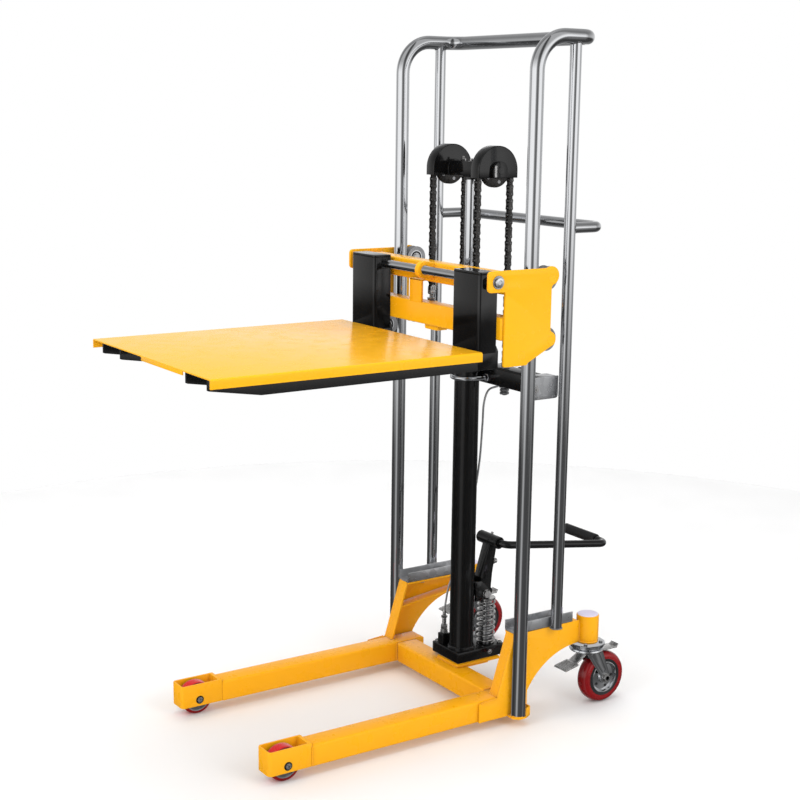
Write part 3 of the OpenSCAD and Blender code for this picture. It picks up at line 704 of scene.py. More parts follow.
build("rear_pole_tubes", both_sides(rear), [CHROME, WELD_S], "rear_poles")

sh = Shell()
sh.add(tube(fillet([(REAR_X, 110, HANDLE_Z), (REAR_X, 195, HANDLE_Z), (-REAR_X, 195, HANDLE_Z),
                    (-REAR_X, 110, HANDLE_Z)], 24, 12), 12, 36))
for s in (-1, 1):
    pts = saddle(REAR_X * s, 107, HANDLE_Z, 12.2, 13.4, "y")
    sh.bead(pts, 1.4, True)
build("handle_tube", sh, [CHROME, WELD_S], "handle_bar")


def mid_plate(sh):
    sh.plate([(6, 758), (100, 758), (100, 809), (6, 809)], [8, 8, 1, 1], 4, "x", 236, 240, 0.7)
    sh.plate([(207, 52), (239, 52), (239, 92), (207, 92)], [5, 0, 0, 5], 4, "z", 806.2, 810, 0.7)
    sh.add(tube([(237.4, 52.6, 807.6), (237.4, 91.4, 807.6)], 2.5, 12))
    bolt(sh, 240, 34, 783, "x", 6, 4, 1, 1.5)


build("mid_plates_shell", both_sides(mid_plate), [ZINC, BOLT], "mid_plates")

sh = Shell()
c = [(92, 762), (52, 762), (52, 806), (92, 806), (92, 802), (56, 802), (56, 766), (92, 766)]
sh.plate(c, [0.6, 5, 5, 0.6, 0.6, 2, 2, 0.6], 4, "x", -235.8, 235.8, 0.7)
for x in (20, 36):
    sh.plate([(88, 776), (112, 776), (112, 804), (88, 804)], [0, 9, 9, 0], 5, "x", x, x + 4, 0.7,
             holes=[arc(105, 790, 3.1, 0, 345, 23)])
build("mid_channel_shell", sh, [BLACK], "mid_channel")

sh = Shell()
path = [(35, 68, 776), (35, 21, 776)] + [(35 * math.cos(a), 21 - 35 * math.sin(a),
        776) for a in [math.pi * i / 24 for i in range(1, 24)]] + [(-35, 21, 776), (-35, 68, 776)]
sh.add(tube(path, 5, 20))
for s in (-1, 1):
    sh.add(disc(10, 0, 1.8, (s * 35, 49.9, 776), "y", 0.4, 32))
    sh.add(hexhead(8.2, 6.5, (s * 35, 43.6, 776), "y"))
    sh.add(hexhead(8.2, 7, (s * 35, 56.2, 776), "y"))
    sh.add(thread(4.9, 62, 72, (s * 35, 0, 776), "y"))
build("u_bolt_rod", sh, [ROD], "u_bolt")

# ---- hydraulics ----------------------------------------------------------

sh = Shell()
sh.add(rbox(-75, 33, -12, 130, 77.2, 104, 2.2, 3))
sh.add(lathe([(0, 104), (33.5, 104), (33.5, 108), (31.5, 110), (0, 110)], RAM, "z", 64))
sh.add(disc(6.5, 33, 35, (0, 84, 91), "x", 0.7, 32), 1)
sh.add(hexhead(3.2, 1.2, (34.4, 84, 91), "x"), 1)
for x, y in ((-66, 120), (24, 120), (-66, -3)):
    sh.add(disc(6, 104, 109, (x, y, 0), "z", 0.8, 28), 1)
    sh.add(hexhead(3, 0.8, (x, y, 108.8)))
build("pump_block_shell", sh, [BLACK, BOLT], "base_block")

sh = Shell()
sh.add(lathe([(0, 110), (29.5, 110), (29.5, 813.6), (28.6, 814.8), (0, 814.8)], RAM, "z", 72))
sh.bead(circle(0, 21, 30, 111, 48), 2.2, True, mat=0)
build("cylinder_shell", sh, [BLACK], "cylinder_tube")

sh = Shell()
sh.add(lathe([(12.6, 815), (28.2, 815), (29.5, 816.3), (29.5, 824.6), (28.4, 826), (23, 826), (22.4, 830),
              (21, 831), (15.5, 831)], RAM, "z", 72))
sh.add(ring(12.8, 15.3, 829.4, 832.4, RAM, "z", 0.5, 48), 1)
for i in range(4):
    a = math.pi / 4 + i * math.pi / 2
    sh.add(disc(2.2, 29.0, 29.8, (0, 21, 820.5), (math.cos(a), math.sin(a), 0), 0.2, 16), 1)
build("gland_ring", sh, [STEEL, PLASTIC], "gland")


def rear_anchor(sh):
    o = (87, 66, 0)
    sh.add(thread(6, 742, 812, o, "z"))
    for z in (744, 751.4):
        sh.add(hexhead(9.5, 6, (87, 66, z)))
    sh.add(disc(12.5, 759.8, 761.8, o, "z", 0.4, 32))
    sh.add(disc(11.5, 806.2, 808, o, "z", 0.4, 32))
    for x in (80.2, 91.4):
        sh.plate([(60, 806.5), (72, 806.5), (72, 822), (60, 822)], [1, 1, 5.9, 5.9], 6, "x", x, x + 2.4,
                 0.4)
    sh.add(disc(2.6, 78.6, 95.4, (0, 66, 816), "x", 0.4, 16))
    sh.add(tube(fillet([(87, 72.5, 747), (87, 60, 747), (85.5, 56, 744)], 2, 4), 1.1, 8))


build("rear_anchor_bolts", both_sides(rear_anchor), [STEEL], "rear_anchors")

sh = Shell()
sh.add(rbox(-57, -36, -9, 13, 104, 131, 1.8, 3), 1)
sh.add(disc(8, 131, 141, VALVE, "z", 1.0, 40))
sh.add(hexhead(7, 12, (-46, 2, 141)))
sh.add(thread(5.5, 153, 171, VALVE, "z"))
sh.add(hexhead(6.5, 6, (-46, 2, 170)))
sh.add(lathe([(0, 176), (4, 176), (4, 187), (3.2, 190), (0, 190)], VALVE, "z", 28))
for i in range(14):
    a = 2 * math.pi * i / 14
    verts, faces = rbox(-0.8, 0.8, -0.8, 0.8, 132, 140, 0.3, 1)
    spun = [((x + 8) * math.cos(a) - y * math.sin(a) - 46, (x + 8) * math.sin(a) + y * math.cos(a) + 2,
             z) for x, y, z in verts]
    sh.add((spun, faces))
build("release_valve_shell", sh, [BOLT, BLACK], "release_valve")


def smooth(pts, n=8):
    """A smooth path through pts."""
    p = [Vector(q) for q in pts]
    p = [p[0] * 2 - p[1]] + p + [p[-1] * 2 - p[-2]]
    out = []
    for i in range(1, len(p) - 2):
        for j in range(n):
            t = j / n
            a = 2 * p[i]
            b = p[i + 1] - p[i - 1]
            c = 2 * p[i - 1] - 5 * p[i] + 4 * p[i + 1] - p[i + 2]
            d = -p[i - 1] + 3 * p[i] - 3 * p[i + 1] + p[i + 2]
            out.append(0.5 * (a + b * t + c * t * t + d * t * t * t))
    out.append(p[-2])
    return out


cable = smooth([(-46, 2, 189), (-45, 14, 250), (-38, 45, 330), (-20, 56.5, 430), (8, 57, 560),
                (24, 52, 660), (32, 49, 715), (32, 62, 745), (30.5, 92, 752), (30, 104.5, 762),
                (30, 106, 777)], 10)
sh = Shell().add(tube(cable, 2.4, 14))
sh.add(lathe([(0, 186), (3.3, 186), (3.3, 196), (2.6, 199), (0, 199)], VALVE, "z", 20))
sh.add(tube([cable[-1] - Vector((0, 0, 9)), cable[-1] + Vector((0, 0, 1))], 3.2, 16))
build("release_cable_line", sh, [SHEATH], "release_cable")

sh = Shell()
sh.add(disc(3, 18.5, 41.5, LEVER_PIN, "x", 0.5, 20), 1)
sh.add(disc(7, 25, 35, LEVER_PIN, "x", 0.8, 32))
sh.add(tube(fillet([(30, 108, 790), (30, 130, 790), (30, 150, 786)], 30, 5), 3.4, 14))
sh.add(lathe([(0, -7), (3.5, -6.2), (6.2, -3.4), (7, 0), (6.2, 3.4), (3.5, 6.2), (0, 7)], (30, 155, 785),
             "y", 32))
build("release_lever_shell", sh, [BLACK, BOLT], "release_lever", "release_lever")

sh = Shell()
sh.add(lathe([(9.1, 104), (16, 104), (16, 143), (14.6, 146), (9.6, 146), (9.1, 145)], PLUNGER, "z", 48))
sh.add(ring(9.2, 13, 145.4, 147.4, PLUNGER, "z", 0.4, 40), 1)
build("pump_barrel_shell", sh, [STEEL, PLASTIC], "pump_barrel")


def cheek(sh):
    pts = [(44, 223), (84, 223), (90, 232), (88, 245), (62, 272), (42, 272)]
    sh.plate(pts, [0, 6, 6, 8, 8, 0], 4, "x", 19, 24)
    sh.bead([(25.0, 45.5, 225), (25.0, 45.5, 270)], 1.7, mat=0)


sh = both_sides(cheek)
sh.add(disc(5.95, -24, 24, PEDAL_PIN, "x", 0.4, 24), 1)
sh.add(disc(10.5, 24, 25.4, PEDAL_PIN, "x", 0.4, 28), 1)
sh.add(hexhead(9, 5.8, (25.2, 76, 238), "x"), 1)
sh.add(hexhead(9, 7, (-31, 76, 238), "x"), 1)
build("pump_bracket_shell", sh, [BLACK, BOLT], "pump_bracket")

sh = Shell()
sh.add(disc(9, 101, 215.8, PLUNGER, "z", 0.8, 40))
sh.add(lathe([(0, 213), (17, 213), (17.4, 215.7), (21.4, 215.8), (22, 216.4), (22, 220), (21.2, 220.7),
              (8.6, 220.7), (8, 221.6), (8, 224.6), (6.8, 225.7), (0, 225.7)], PLUNGER, "z", 56), 1)
build("plunger_shell", sh, [ROD, BOLT], "plunger", "plunger")

turns, coil = 9.0, []
for i in range(int(turns * 28) + 1):
    t = i / 28
    rise = min(t, 0.7) * 0.3 + max(0, min(t, turns - 0.7) - 0.7) + max(0, t - (turns - 0.7)) * 0.3
    full = (turns - 1.4) + 1.4 * 0.3
    coil.append((20.4 * math.cos(2 * math.pi * t), 95 + 20.4 * math.sin(2 * math.pi * t),
                 106.6 + (213.0 - 106.6) * rise / full))
build("pump_spring_coil", Shell().add(tube(coil, 2.5, 14)), [BOLT], "pump_spring",
      ("frame", "plunger", (0, 95, 104), (0, 95, 215.5)))

# ---- pedal ---------------------------------------------------------------

sh = Shell()
sh.add(lathe([(6, -18), (12.2, -18), (13, -17), (13, 17), (12.2, 18), (6, 18)], PEDAL_PIN, "x", 48,
             closed=True))
arm = [(64, 240), (66, 278), (88, 352), (90, 362), (113, 362), (112, 350), (101, 284), (98, 250),
       (99, 240), (80, 236)]
sh.plate(arm, [4, 10, 10, 0, 0, 10, 20, 6, 3, 0], 5, "x", -14, 14, 2.0, seg=2)
sh.add(disc(10, -9, 9, (0, 97, 236), "x", 1.4, 36))
sh.add(ring(9.6, 15, -38, 38, PEDAL_AT, "x", 1.0, 48))
sh.add(disc(6.4, 108, 115.5, (8, 0, 312), "y", 0.9, 28), 1)
sh.add(hexhead(3.0, 0.8, (8, 115, 312), "y"), 1)
sh.add(hexhead(6.4, 5, (8, 104.5, 312), "y"), 1)
sh.add(disc(3.2, 10, 19.5, PEDAL_AT, (0, 0.35, 0.94), 0.5, 16), 1)
build("pedal_arm_shell", sh, [BLACK, BOLT], "pedal_arm", "pedal")

TILT = Matrix.Rotation(math.radians(-7), 3, "X")


def on_pedal(shape):
    return [tuple(TILT @ Vector(p) + Vector(PEDAL_AT)) for p in shape[0]], shape[1]


bar = fillet([(-37, 0, 0), (57, 0, 0), (79, 312, 0), (-86, 312, 0)], [24, 26], 12)
sh = Shell()
sh.add(on_pedal(tube(bar, 9.2, 28)))
sh.add(on_pedal(disc(10.5, -39.5, -36.5, (0, 0, 0), "x", 0.8, 28)))
grip, x = [(9.3, -84), (12, -84), (12.9, -82.6)], -80
while x < 30:
    grip += [(12.9, x), (12.9, x + 3.4), (12.1, x + 4.0), (12.1, x + 5.2)]
    x += 5.8
grip += [(12.9, 32), (12.9, 34.6), (12, 36), (9.3, 36)]
sh.add(on_pedal(lathe(grip, (0, 312, 0), "x", 40)), 1)
sh.add(on_pedal(disc(9.6, -87, -83.5, (0, 312, 0), "x", 1.2, 28)))
build("pedal_bar_shell", sh, [BLACK, RUBBER], "pedal_bar", "pedal")

# ---- ram, pulleys and chains ---------------------------------------------

sh = Shell()
sh.add(lathe([(0, 560), (12.4, 560), (12.4, 1252), (11.5, 1253), (0, 1253)], RAM, "z", 48))
sh.add(disc(23.2, 541, 559, RAM, "z", 1, 48))
build("ram_rod", sh, [ROD], "piston_rod", "ram")

sh = Shell()
sh.add(rbox(-62, 62, 6, 36, 1243, 1277, 2.5, 3))
sh.add(lathe([(12.6, 1235.5), (16.5, 1235.5), (17.5, 1236.5), (17.5, 1243.5), (12.6, 1243.5)], RAM, "z",
             48, closed=True))
dee = [(41, 1243), (41, 1260)] + arc(21, 1260, 20, 0, 180, 20)[1:] + [(1, 1243)]
for s in (-1, 1):
    for a in (62, 102.2):
        sh.plate(dee, [2] + [0] * 21 + [2], 3, "x", min(s * a, s * (a + 9.8)), max(s * a, s * (a + 9.8)),
                 1.2)
    sh.add(rbox(min(s * 112, s * 113.2), max(s * 112, s * 113.2), 3.5, 9.5, 1245, 1271, 0.5, 1), 1)
    sh.add(disc(8.4, 111.6, 113.4, PULLEY_AXLE, (s, 0, 0), 0.5, 32), 0)
    sh.add(disc(9.9, 70, 103, PULLEY_AXLE, (s, 0, 0), 0.5, 32), 1)
sh.add(thread(3.6, 1274, 1287, (-40, 27, 0), "z"), 1)
sh.add(hexhead(5.4, 4.5, (-40, 27, 1277)), 1)
sh.add(disc(4.2, 1277, 1283, RAM, "z", 0.7, 28), 1)
sh.bead(circle(0, 21, 17.8, 1243, 36), 1.8, True, mat=0)
build("yoke_shell", sh, [BLACK, BOLT], "yoke", "ram")


def hood(sh):
    out = [(75.4, 1243), (75.4, 1260)] + arc(21, 1260, 54.4, 0, 180, 36)[1:] + [(-33.4, 1243)]
    inn = [(-30.9, 1243), (-30.9, 1260)] + arc(21, 1260, 51.9, 180, 0, 36)[1:] + [(72.9, 1243)]
    sh.add(slab(out + inn, "x", 72, 102, 0.5))
    for a in (72, 99.6):
        sh.add(slab(out, "x", a, a + 2.4, 1.1, seg=2))


build("pulley_hoods", both_sides(hood), [BLACK], "pulley_covers", "ram")


def pulley_shape(x):
    sh = Shell()
    o = (x, 21, 1260)
    sh.add(lathe([(16, -7.5), (36, -7.5), (37.6, -6.8), (38.6, -5), (38.6, -2.2), (36.4, -1.6),
                  (36.4, 1.6), (38.6, 2.2), (38.6, 5), (37.6, 6.8), (36, 7.5), (16, 7.5)], o, "x", 64,
                 closed=True))
    sh.add(ring(10.1, 15.6, -12, 12, o, "x", 0.8, 40), 1)
    sh.add(ring(15.4, 18.5, -6.4, 6.4, o, "x", 0.4, 40), 1)
    for i in range(5):
        a = 2 * math.pi * i / 5
        sh.add(ring(0.01, 4.2, 6.2, 7.9, (x, 21 + 27 * math.cos(a), 1260 + 27 * math.sin(a)), "x", 0.3,
                    20), 1)
    return sh


build("pulley_l_wheel", pulley_shape(-87), [CHAIN, STEEL], "pulley_l", "pulley_l")
build("pulley_r_wheel", pulley_shape(87), [CHAIN, STEEL], "pulley_r", "pulley_r")

PITCH, CHAIN_R = 15.875, 45
FRONT_Y, REAR_Y, TOP_Z, FRONT_Z, REAR_Z = -24, 66, 1260, 979, 818


def chain_point(s):
    """The point and direction at distance s along the chain, from its front end over the pulley."""
    rise = TOP_Z - FRONT_Z
    if s < rise:
        return Vector((0, FRONT_Y, FRONT_Z + s)), Vector((0, 0, 1))
    s -= rise
    turn = math.pi * CHAIN_R
    if s < turn:
        a = math.pi - s / CHAIN_R
        at = Vector((0, 21 + CHAIN_R * math.cos(a), TOP_Z + CHAIN_R * math.sin(a)))
        return at, Vector((0, math.sin(a), -math.cos(a)))
    s -= turn
    return Vector((0, REAR_Y, TOP_Z - s)), Vector((0, 0, -1))


def eight(r, waist):
    """Outline of a chain plate between pins at 0 and PITCH."""
    right = arc(PITCH, 0, r, -68, 68, 7)
    left = arc(0, 0, r, 112, 248, 7)
    return right + [(PITCH / 2, waist)] + left + [(PITCH / 2, -waist)]


def link_plate(x0, x1, r, waist):
    pts = eight(r, waist)
    n = len(pts)
    verts = [(x, p[1], p[0]) for x in (x0, x1) for p in pts]
    faces = [tuple(reversed(range(n))), tuple(range(n, 2 * n))]
    faces += [(i, (i + 1) % n, n + (i + 1) % n, n + i) for i in range(n)]
    return verts, faces


def chain_link(inner):
    """One link with its own z along the chain: two plates, with rollers or pins."""
    sh = Shell()
    if inner:
        for a, b in ((-5.2, -3.8), (3.8, 5.2)):
            sh.add(link_plate(a, b, 6.1, 4.5))
        for h in (0, PITCH):
            sh.add(disc(4.9, -3.7, 3.7, (0, 0, h), "x", 0.4, 14), 1)
    else:
        for a, b in ((-6.9, -5.4), (5.4, 6.9)):
            sh.add(link_plate(a, b, 6.1, 4.5))
        for h in (0, PITCH):
            sh.add(disc(2.5, -7.9, 7.9, (0, 0, h), "x", 0.5, 12), 1)
    return sh


LINKS = (chain_link(True), chain_link(False))
chain_sets = {"front": Shell(), "wrap": Shell(), "rear": Shell()}
total = (TOP_Z - FRONT_Z) + math.pi * CHAIN_R + (TOP_Z - REAR_Z)
count = int(total // PITCH)
for k in range(count):
    a, b = chain_point(k * PITCH)[0], chain_point((k + 1) * PITCH)[0]
    d = (b - a).normalized()
    mid = (k + 0.5) * PITCH
    up_to_pulley = TOP_Z - FRONT_Z
    kind = "front" if mid < up_to_pulley else "wrap" if mid < up_to_pulley + math.pi * CHAIN_R else "rear"
    src = LINKS[k % 2]
    dst = chain_sets[kind]
    side = Vector((1, 0, 0))
    up = d.cross(side)
    for x0 in (-87, 87):
        base = len(dst.v)
        dst.v += [tuple(Vector((x0, 0, 0)) + a + side * p[0] + up * p[1] + d * p[2]) for p in src.v]
        dst.f += [tuple(i + base for i in f) for f in src.f]
        dst.m += src.m
build("chain_front_links", chain_sets["front"], [CHAIN, PINS], "chain_front",
      ("ram", "carriage", (0, FRONT_Y, TOP_Z), (0, FRONT_Y, 986)))
build("chain_wrap_links", chain_sets["wrap"], [CHAIN, PINS], "chain_wraps", "ram")
build("chain_rear_links", chain_sets["rear"], [CHAIN, PINS], "chain_rear",
      ("frame", "ram", (0, REAR_Y, 816), (0, REAR_Y, TOP_Z)))

# ---- carriage ------------------------------------------------------------


def side_plate(sh):
    pts = rounded([(-23, 849), (-88, 849), (-88, 1012), (-134, 1012), (-134, 1058), (26, 1058)],
                  [6, 4, 4, 9, 9, 0], 5)[:-1]
    pts = pts + [(26, 1058)] + arc(38, 1041, 20.8, 125, -78, 14) + [(39, 1016), (39, 921)] + arc(37, 901,
            17.5, 70, -42, 12)
    hole = arc(-108, 1034, 10, 0, 345, 23)
    sh.add(slab(pts, "x", 274.2, 281, 1.3, [hole], 2))
    for y, z in GUIDES:
        sh.add(disc(9.2, 280.6, 281.5, (0, y, z), "x", 0.5, 32))
    for z0, z1, y in ((914, 950, -50), (1012, 1040, -42)):
        sh.bead([(273.4, y + 1.2, z0), (273.4, y + 1.2, z1)], 2.0)


build("side_plates_shell", both_sides(side_plate), [YELLOW, WELD_Y], "side_plates", "carriage")

sh = Shell()
sh.add(rbox(-274, 274, -82, -42, 1004, 1049, 4, 3))
build("upper_beam_shell", sh, [YELLOW], "upper_beam", "carriage")

sh = Shell()
sh.add(rbox(-274, 274, -93, -53, 906, 956, 4, 3))
sh.plate([(-26, 895), (26, 895), (26, 908), (-26, 908)], [5, 5, 0, 0], 4, "y", -84, -56, 1.0)
build("lower_beam_shell", sh, [YELLOW], "lower_beam", "carriage")

sh = Shell()
ear = [(-82, 1014), (-82, 1049)] + [(-108, 1054)] + arc(-108, 1034, 20, 90, 270, 18)[1:]
sh.add(slab(ear, "x", -7, 7, 1.4, [arc(-108, 1034, 9.9, 0, 345, 23)], 2))
sh.plate([(-78, 954), (-30, 954), (-30, 1008), (-78, 1008)], 2, 3, "y", -93, -87, 1.0)
sh.add(rbox(-78, -30, -93, -81.8, 1004, 1008, 1.0, 1))
sh.bead([(-76, -88.5, 956.6), (-32, -88.5, 956.6)], 1.8)
sh.bead([(7.4, -82.6, 1016), (7.4, -82.6, 1046)], 1.8)
sh.bead([(-7.4, -82.6, 1016), (-7.4, -82.6, 1046)], 1.8)
build("shaft_hanger_shell", sh, [YELLOW, WELD_Y], "shaft_hanger", "carriage")

sh = Shell()
sh.add(disc(9.4, -281, 281, SHAFT, "x", 0.5, 40))
for s in (-1, 1):
    sh.add(disc(14.5, 281, 282.6, SHAFT, (s, 0, 0), 0.4, 40), 1)
    sh.add(lathe([(0, 282.4), (10.6, 282.4), (11, 283), (11, 286.4), (10, 287.6), (5.4, 287.9),
                  (4.8, 286.6), (0, 286.6)], SHAFT, (s, 0, 0), 40), 0)
build("fork_shaft_rod", sh, [ROD, BOLT], "fork_shaft", "carriage")


def fork_shape():
    sh = Shell()
    ro, t, n = 6.0, 6.0, 6
    loops = []
    for y, zb in ((-780, 860), (-778, 859), (-667, 841.4), (-664, 841), (-560, 841.3), (-350, 842),
                  (-141, 842.8)):
        outer = [(158, zb)] + arc(164, 879, ro, 180, 90, n) + arc(252, 879, ro, 90, 0, n) + [(258, zb)]
        inner = [(252, zb)] + arc(250, 878, 2, 0, 90, n) + arc(166, 878, 2, 90, 180, n) + [(164, zb)]
        loops.append([(x, y, z) for x, z in outer + inner])
    k = len(loops[0])
    verts = [p for lp in loops for p in lp]
    faces = []
    for i in range(len(loops) - 1):
        for j in range(k):
            m = (j + 1) % k
            faces.append((i * k + j, i * k + m, (i + 1) * k + m, (i + 1) * k + j))
    half = k // 2
    for i in (0, len(loops) - 1):
        for j in range(half - 1):
            faces.append((i * k + j, i * k + j + 1, i * k + k - 2 - j, i * k + k - 1 - j))
    sh.add((verts, faces))
    up = rounded([(158, -93), (158, -140), (258, -140), (258, -93), (252, -93), (252, -134), (164, -134),
                  (164, -93)], [0, 8, 8, 0, 0, 3, 3, 0], 6)
    sh.add(slab(up, "z", 879, 1048.5, 0.6))
    lid = rounded([(158, -93), (158, -140), (258, -140), (258, -93)], [1, 8, 8, 1], 6)
    sh.add(slab(lid, "z", 1048, 1054, 1.0, seg=2))
    for a in (158, 252):
        foot = [(-141, 842.8), (-86, 843), (-86, 882), (-93.1, 897), (-93.1, 879.2), (-141, 879.2)]
        sh.plate(foot, [0, 5, 4, 1, 0, 0], 4, "x", a, a + 6, 1.0)
        sh.add(ring(9.6, 13.5, a - 0.6, a + 6.6, SHAFT, "x", 0.5, 36))
    return sh


build("fork_r_shell", fork_shape(), [BLACK], "fork_r", "carriage")
build("fork_l_shell", fork_shape().flipped(), [BLACK], "fork_l", "carriage")

sh = Shell()
sheet = rounded([(-288, 868), (-288, 888), (288, 888), (288, 868), (285, 868), (285, 885), (-285, 885),
                 (-285, 868)], [0.4, 5, 5, 0.4, 0.4, 2, 2, 0.4], 8)
sh.add(slab(sheet, "y", -790, -150, 0.6, seg=2))
lip = rounded([(-790, 877), (-790, 887.6), (-784, 887.6), (-784, 885), (-787, 885), (-787, 877)],
              [0.3, 3, 0.3, 0.3, 0.6, 0.3], 5)
sh.add(slab(lip, "x", -30, 165, 0.3))
build("platform_sheet", sh, [YELLOW], "platform", "carriage")


def pins(sh):
    for y, z in GUIDES:
        sh.add(disc(7.9, 244, 274.5, (0, y, z), "x", 0.7, 32))
        sh.add(ring(8.0, 9.4, 244.8, 245.9, (0, y, z), "x", 0.2, 32))
        sh.add(ring(8.0, 12, 266.6, 273.8, (0, y, z), "x", 0.5, 32))


build("roller_pins_set", both_sides(pins), [BOLT], "roller_pins", "carriage")


def front_anchor(sh):
    sh.plate([(70, -53), (70, -13), (104, -13), (104, -53)], [0, 8, 8, 0], 4, "z", 940, 948, 1.0, 1,
             holes=[arc(87, -24, 5.6, 0, 345, 20)])
    sh.add(thread(5, 929, 972, (87, -24, 0), "z"))
    for z in (932.8, 948.4):
        sh.add(hexhead(8, 6.6, (87, -24, z)))
    sh.add(disc(10.5, 954.8, 956.4, (87, -24, 0), "z", 0.4, 28))
    for x in (80.0, 91.6):
        sh.plate([(-30, 966), (-18, 966), (-18, 985.4), (-30, 985.4)], [1, 1, 5.9, 5.9], 6, "x", x,
                 x + 2.4, 0.4)
    sh.add(rbox(80, 94, -30, -18, 964, 969, 1, 1))
    sh.add(ring(4.6, 7.6, 79.2, 80.6, (0, -24, 979.4), "x", 0.3, 28))
    sh.add(disc(3.0, 78.2, 95.8, (0, -24, 979.4), "x", 0.4, 20))


build("front_anchor_bolts", both_sides(front_anchor), [BOLT, YELLOW], "front_anchors", "carriage")


def guide_shape(x, y, z):
    sh = Shell()
    prof = [(17.5, -10), (26.2, -10)]
    for i in range(15):
        h = -9.4 + 18.8 * i / 14
        prof.append((40 - math.sqrt(16.3 ** 2 - h * h), h))
    prof += [(26.2, 10), (17.5, 10)]
    sh.add(lathe(prof, (x, y, z), "x", 64, closed=True))
    sh.add(ring(14.5, 17.6, -9.4, 9.4, (x, y, z), "x", 0.4, 48), 1)
    sh.add(ring(10.8, 14.6, -8.4, 8.4, (x, y, z), "x", 0.3, 48), 2)
    sh.add(ring(8.1, 10.9, -9.6, 9.6, (x, y, z), "x", 0.3, 48), 1)
    return sh


for row, (gy, gz) in zip("tbf", GUIDES):
    for side, gx in (("r", POLE_X), ("l", -POLE_X)):
        tag = row + side
        build("guide_%s_roller" % tag, guide_shape(gx, gy, gz), [STEEL, ROD, PLASTIC], "guide_" + tag,
              "guide_" + tag)

# ---- wheels --------------------------------------------------------------

for s, tag in ((1, "r"), (-1, "l")):
    o = (209 * s, -594, 38)
    sh = Shell()
    sh.add(lathe([(32, -13), (37.2, -13), (37.8, -11.6), (38, -7), (38, 7), (37.8, 11.6), (37.2, 13),
                  (32, 13)], o, "x", 72, closed=True))
    # Painted shade: the tyre's side faces take the dark red material, darker than the tread because less
    # light falls on them.
    for d in (-1, 1):
        sh.add(lathe([(31, 12), (31, 14.8), (33.5, 15), (36.4, 14.2), (37.4, 12.8), (36.5, 12)], o,
                     (d, 0, 0), 72, closed=True), 3)
    sh.add(lathe([(15, -12.6), (27, -12.6), (28.4, -14.4), (31.4, -14.8), (31.4, 14.8), (28.4, 14.4),
                  (27, 12.6), (15, 12.6)], o, "x", 64, closed=True), 1)
    sh.add(ring(11.6, 15.1, -14.2, 14.2, o, "x", 0.3, 48), 2)
    sh.add(ring(8.1, 11.7, -18, 18, o, "x", 0.5, 40), 1)
    build("load_wheel_%s_roller" % tag, sh, [RED, STEEL, PLASTIC, DARKRED_AND_SIDE_SHADE], "load_wheel_" + tag,
          "load_wheel_" + tag)


def top_plate(sh):
    o = STEM
    sh.add(lathe([(0, 157.9), (41.5, 157.9), (43, 156.8), (43, 154), (42, 153), (0, 153)], o, "z", 72))
    sh.add(lathe([(30, 153.2), (38.6, 153.2), (40.2, 151.4), (40.4, 149), (38.8, 147), (35, 146.3),
                  (30, 146.3)], o, "z", 72, closed=True))
    sh.add(disc(29.5, 145.8, 153.4, o, "z", 0.6, 48))
    sh.add(disc(6, 136.5, 146, o, "z", 0.8, 28))
    for a in range(0, 360, 90):
        q = math.radians(a + 45)
        sh.add(hexhead(4.2, 3, (238 + 33 * math.cos(q), 216 + 33 * math.sin(q), 157.8)), 1)


build("caster_plates_shell", both_sides(top_plate), [ROD, BOLT], "caster_plates")


def swivel():
    sh = Shell()
    o = STEM
    sh.add(lathe([(6.2, 145.4), (31, 145.4), (37.5, 145.2), (40.4, 143.4), (41, 141.4), (40.2, 138.6),
                  (37.5, 137.1), (6.2, 137.1)], o, "z", 72, closed=True))
    for i in range(26):
        a = 2 * math.pi * i / 26
        c = Vector((238 + 33.2 * math.cos(a), 216 + 33.2 * math.sin(a), 145.8))
        sh.add(lathe([(0, -2), (1.5, -1.3), (2, 0), (1.5, 1.3), (0, 2)], c, "z", 10))
    leg = [(196, 141.5), (247, 141.5)] + arc(262, 62.5, 14.3, 16, -196, 16)
    for x0 in (217.5, 254.5):
        sh.plate(leg, [4, 5] + [0] * 17, 4, "x", x0, x0 + 4, 1.3, seg=2)
        inset = [(210, 133), (238, 133), (262, 84), (254, 72)]
        xo = x0 - 0.7 if x0 < 238 else x0 + 3.5
        sh.plate(inset, 6, 4, "x", xo, xo + 1.2, 0.5)
    sh.add(tube([(219.6, 200, 138.6), (219.6, 246, 138.6)], 3.6, 12))
    sh.add(tube([(256.4, 200, 138.6), (256.4, 246, 138.6)], 3.6, 12))
    sh.add(disc(5.9, 210.5, 265.5, CASTER_AXLE, "x", 0.6, 24), 1)
    for d, x in ((1, 258.5), (-1, 217.5)):
        sh.add(disc(11, 0, 1.5, (x, 262, 62.5), (d, 0, 0), 0.4, 32), 1)
        sh.add(hexhead(8.2, 5.6, (x + 1.4 * d, 262, 62.5), (d, 0, 0)), 1)
    sh.add(disc(2.9, 216, 260, (0, 235, 130), "x", 0.4, 16), 1)
    return sh


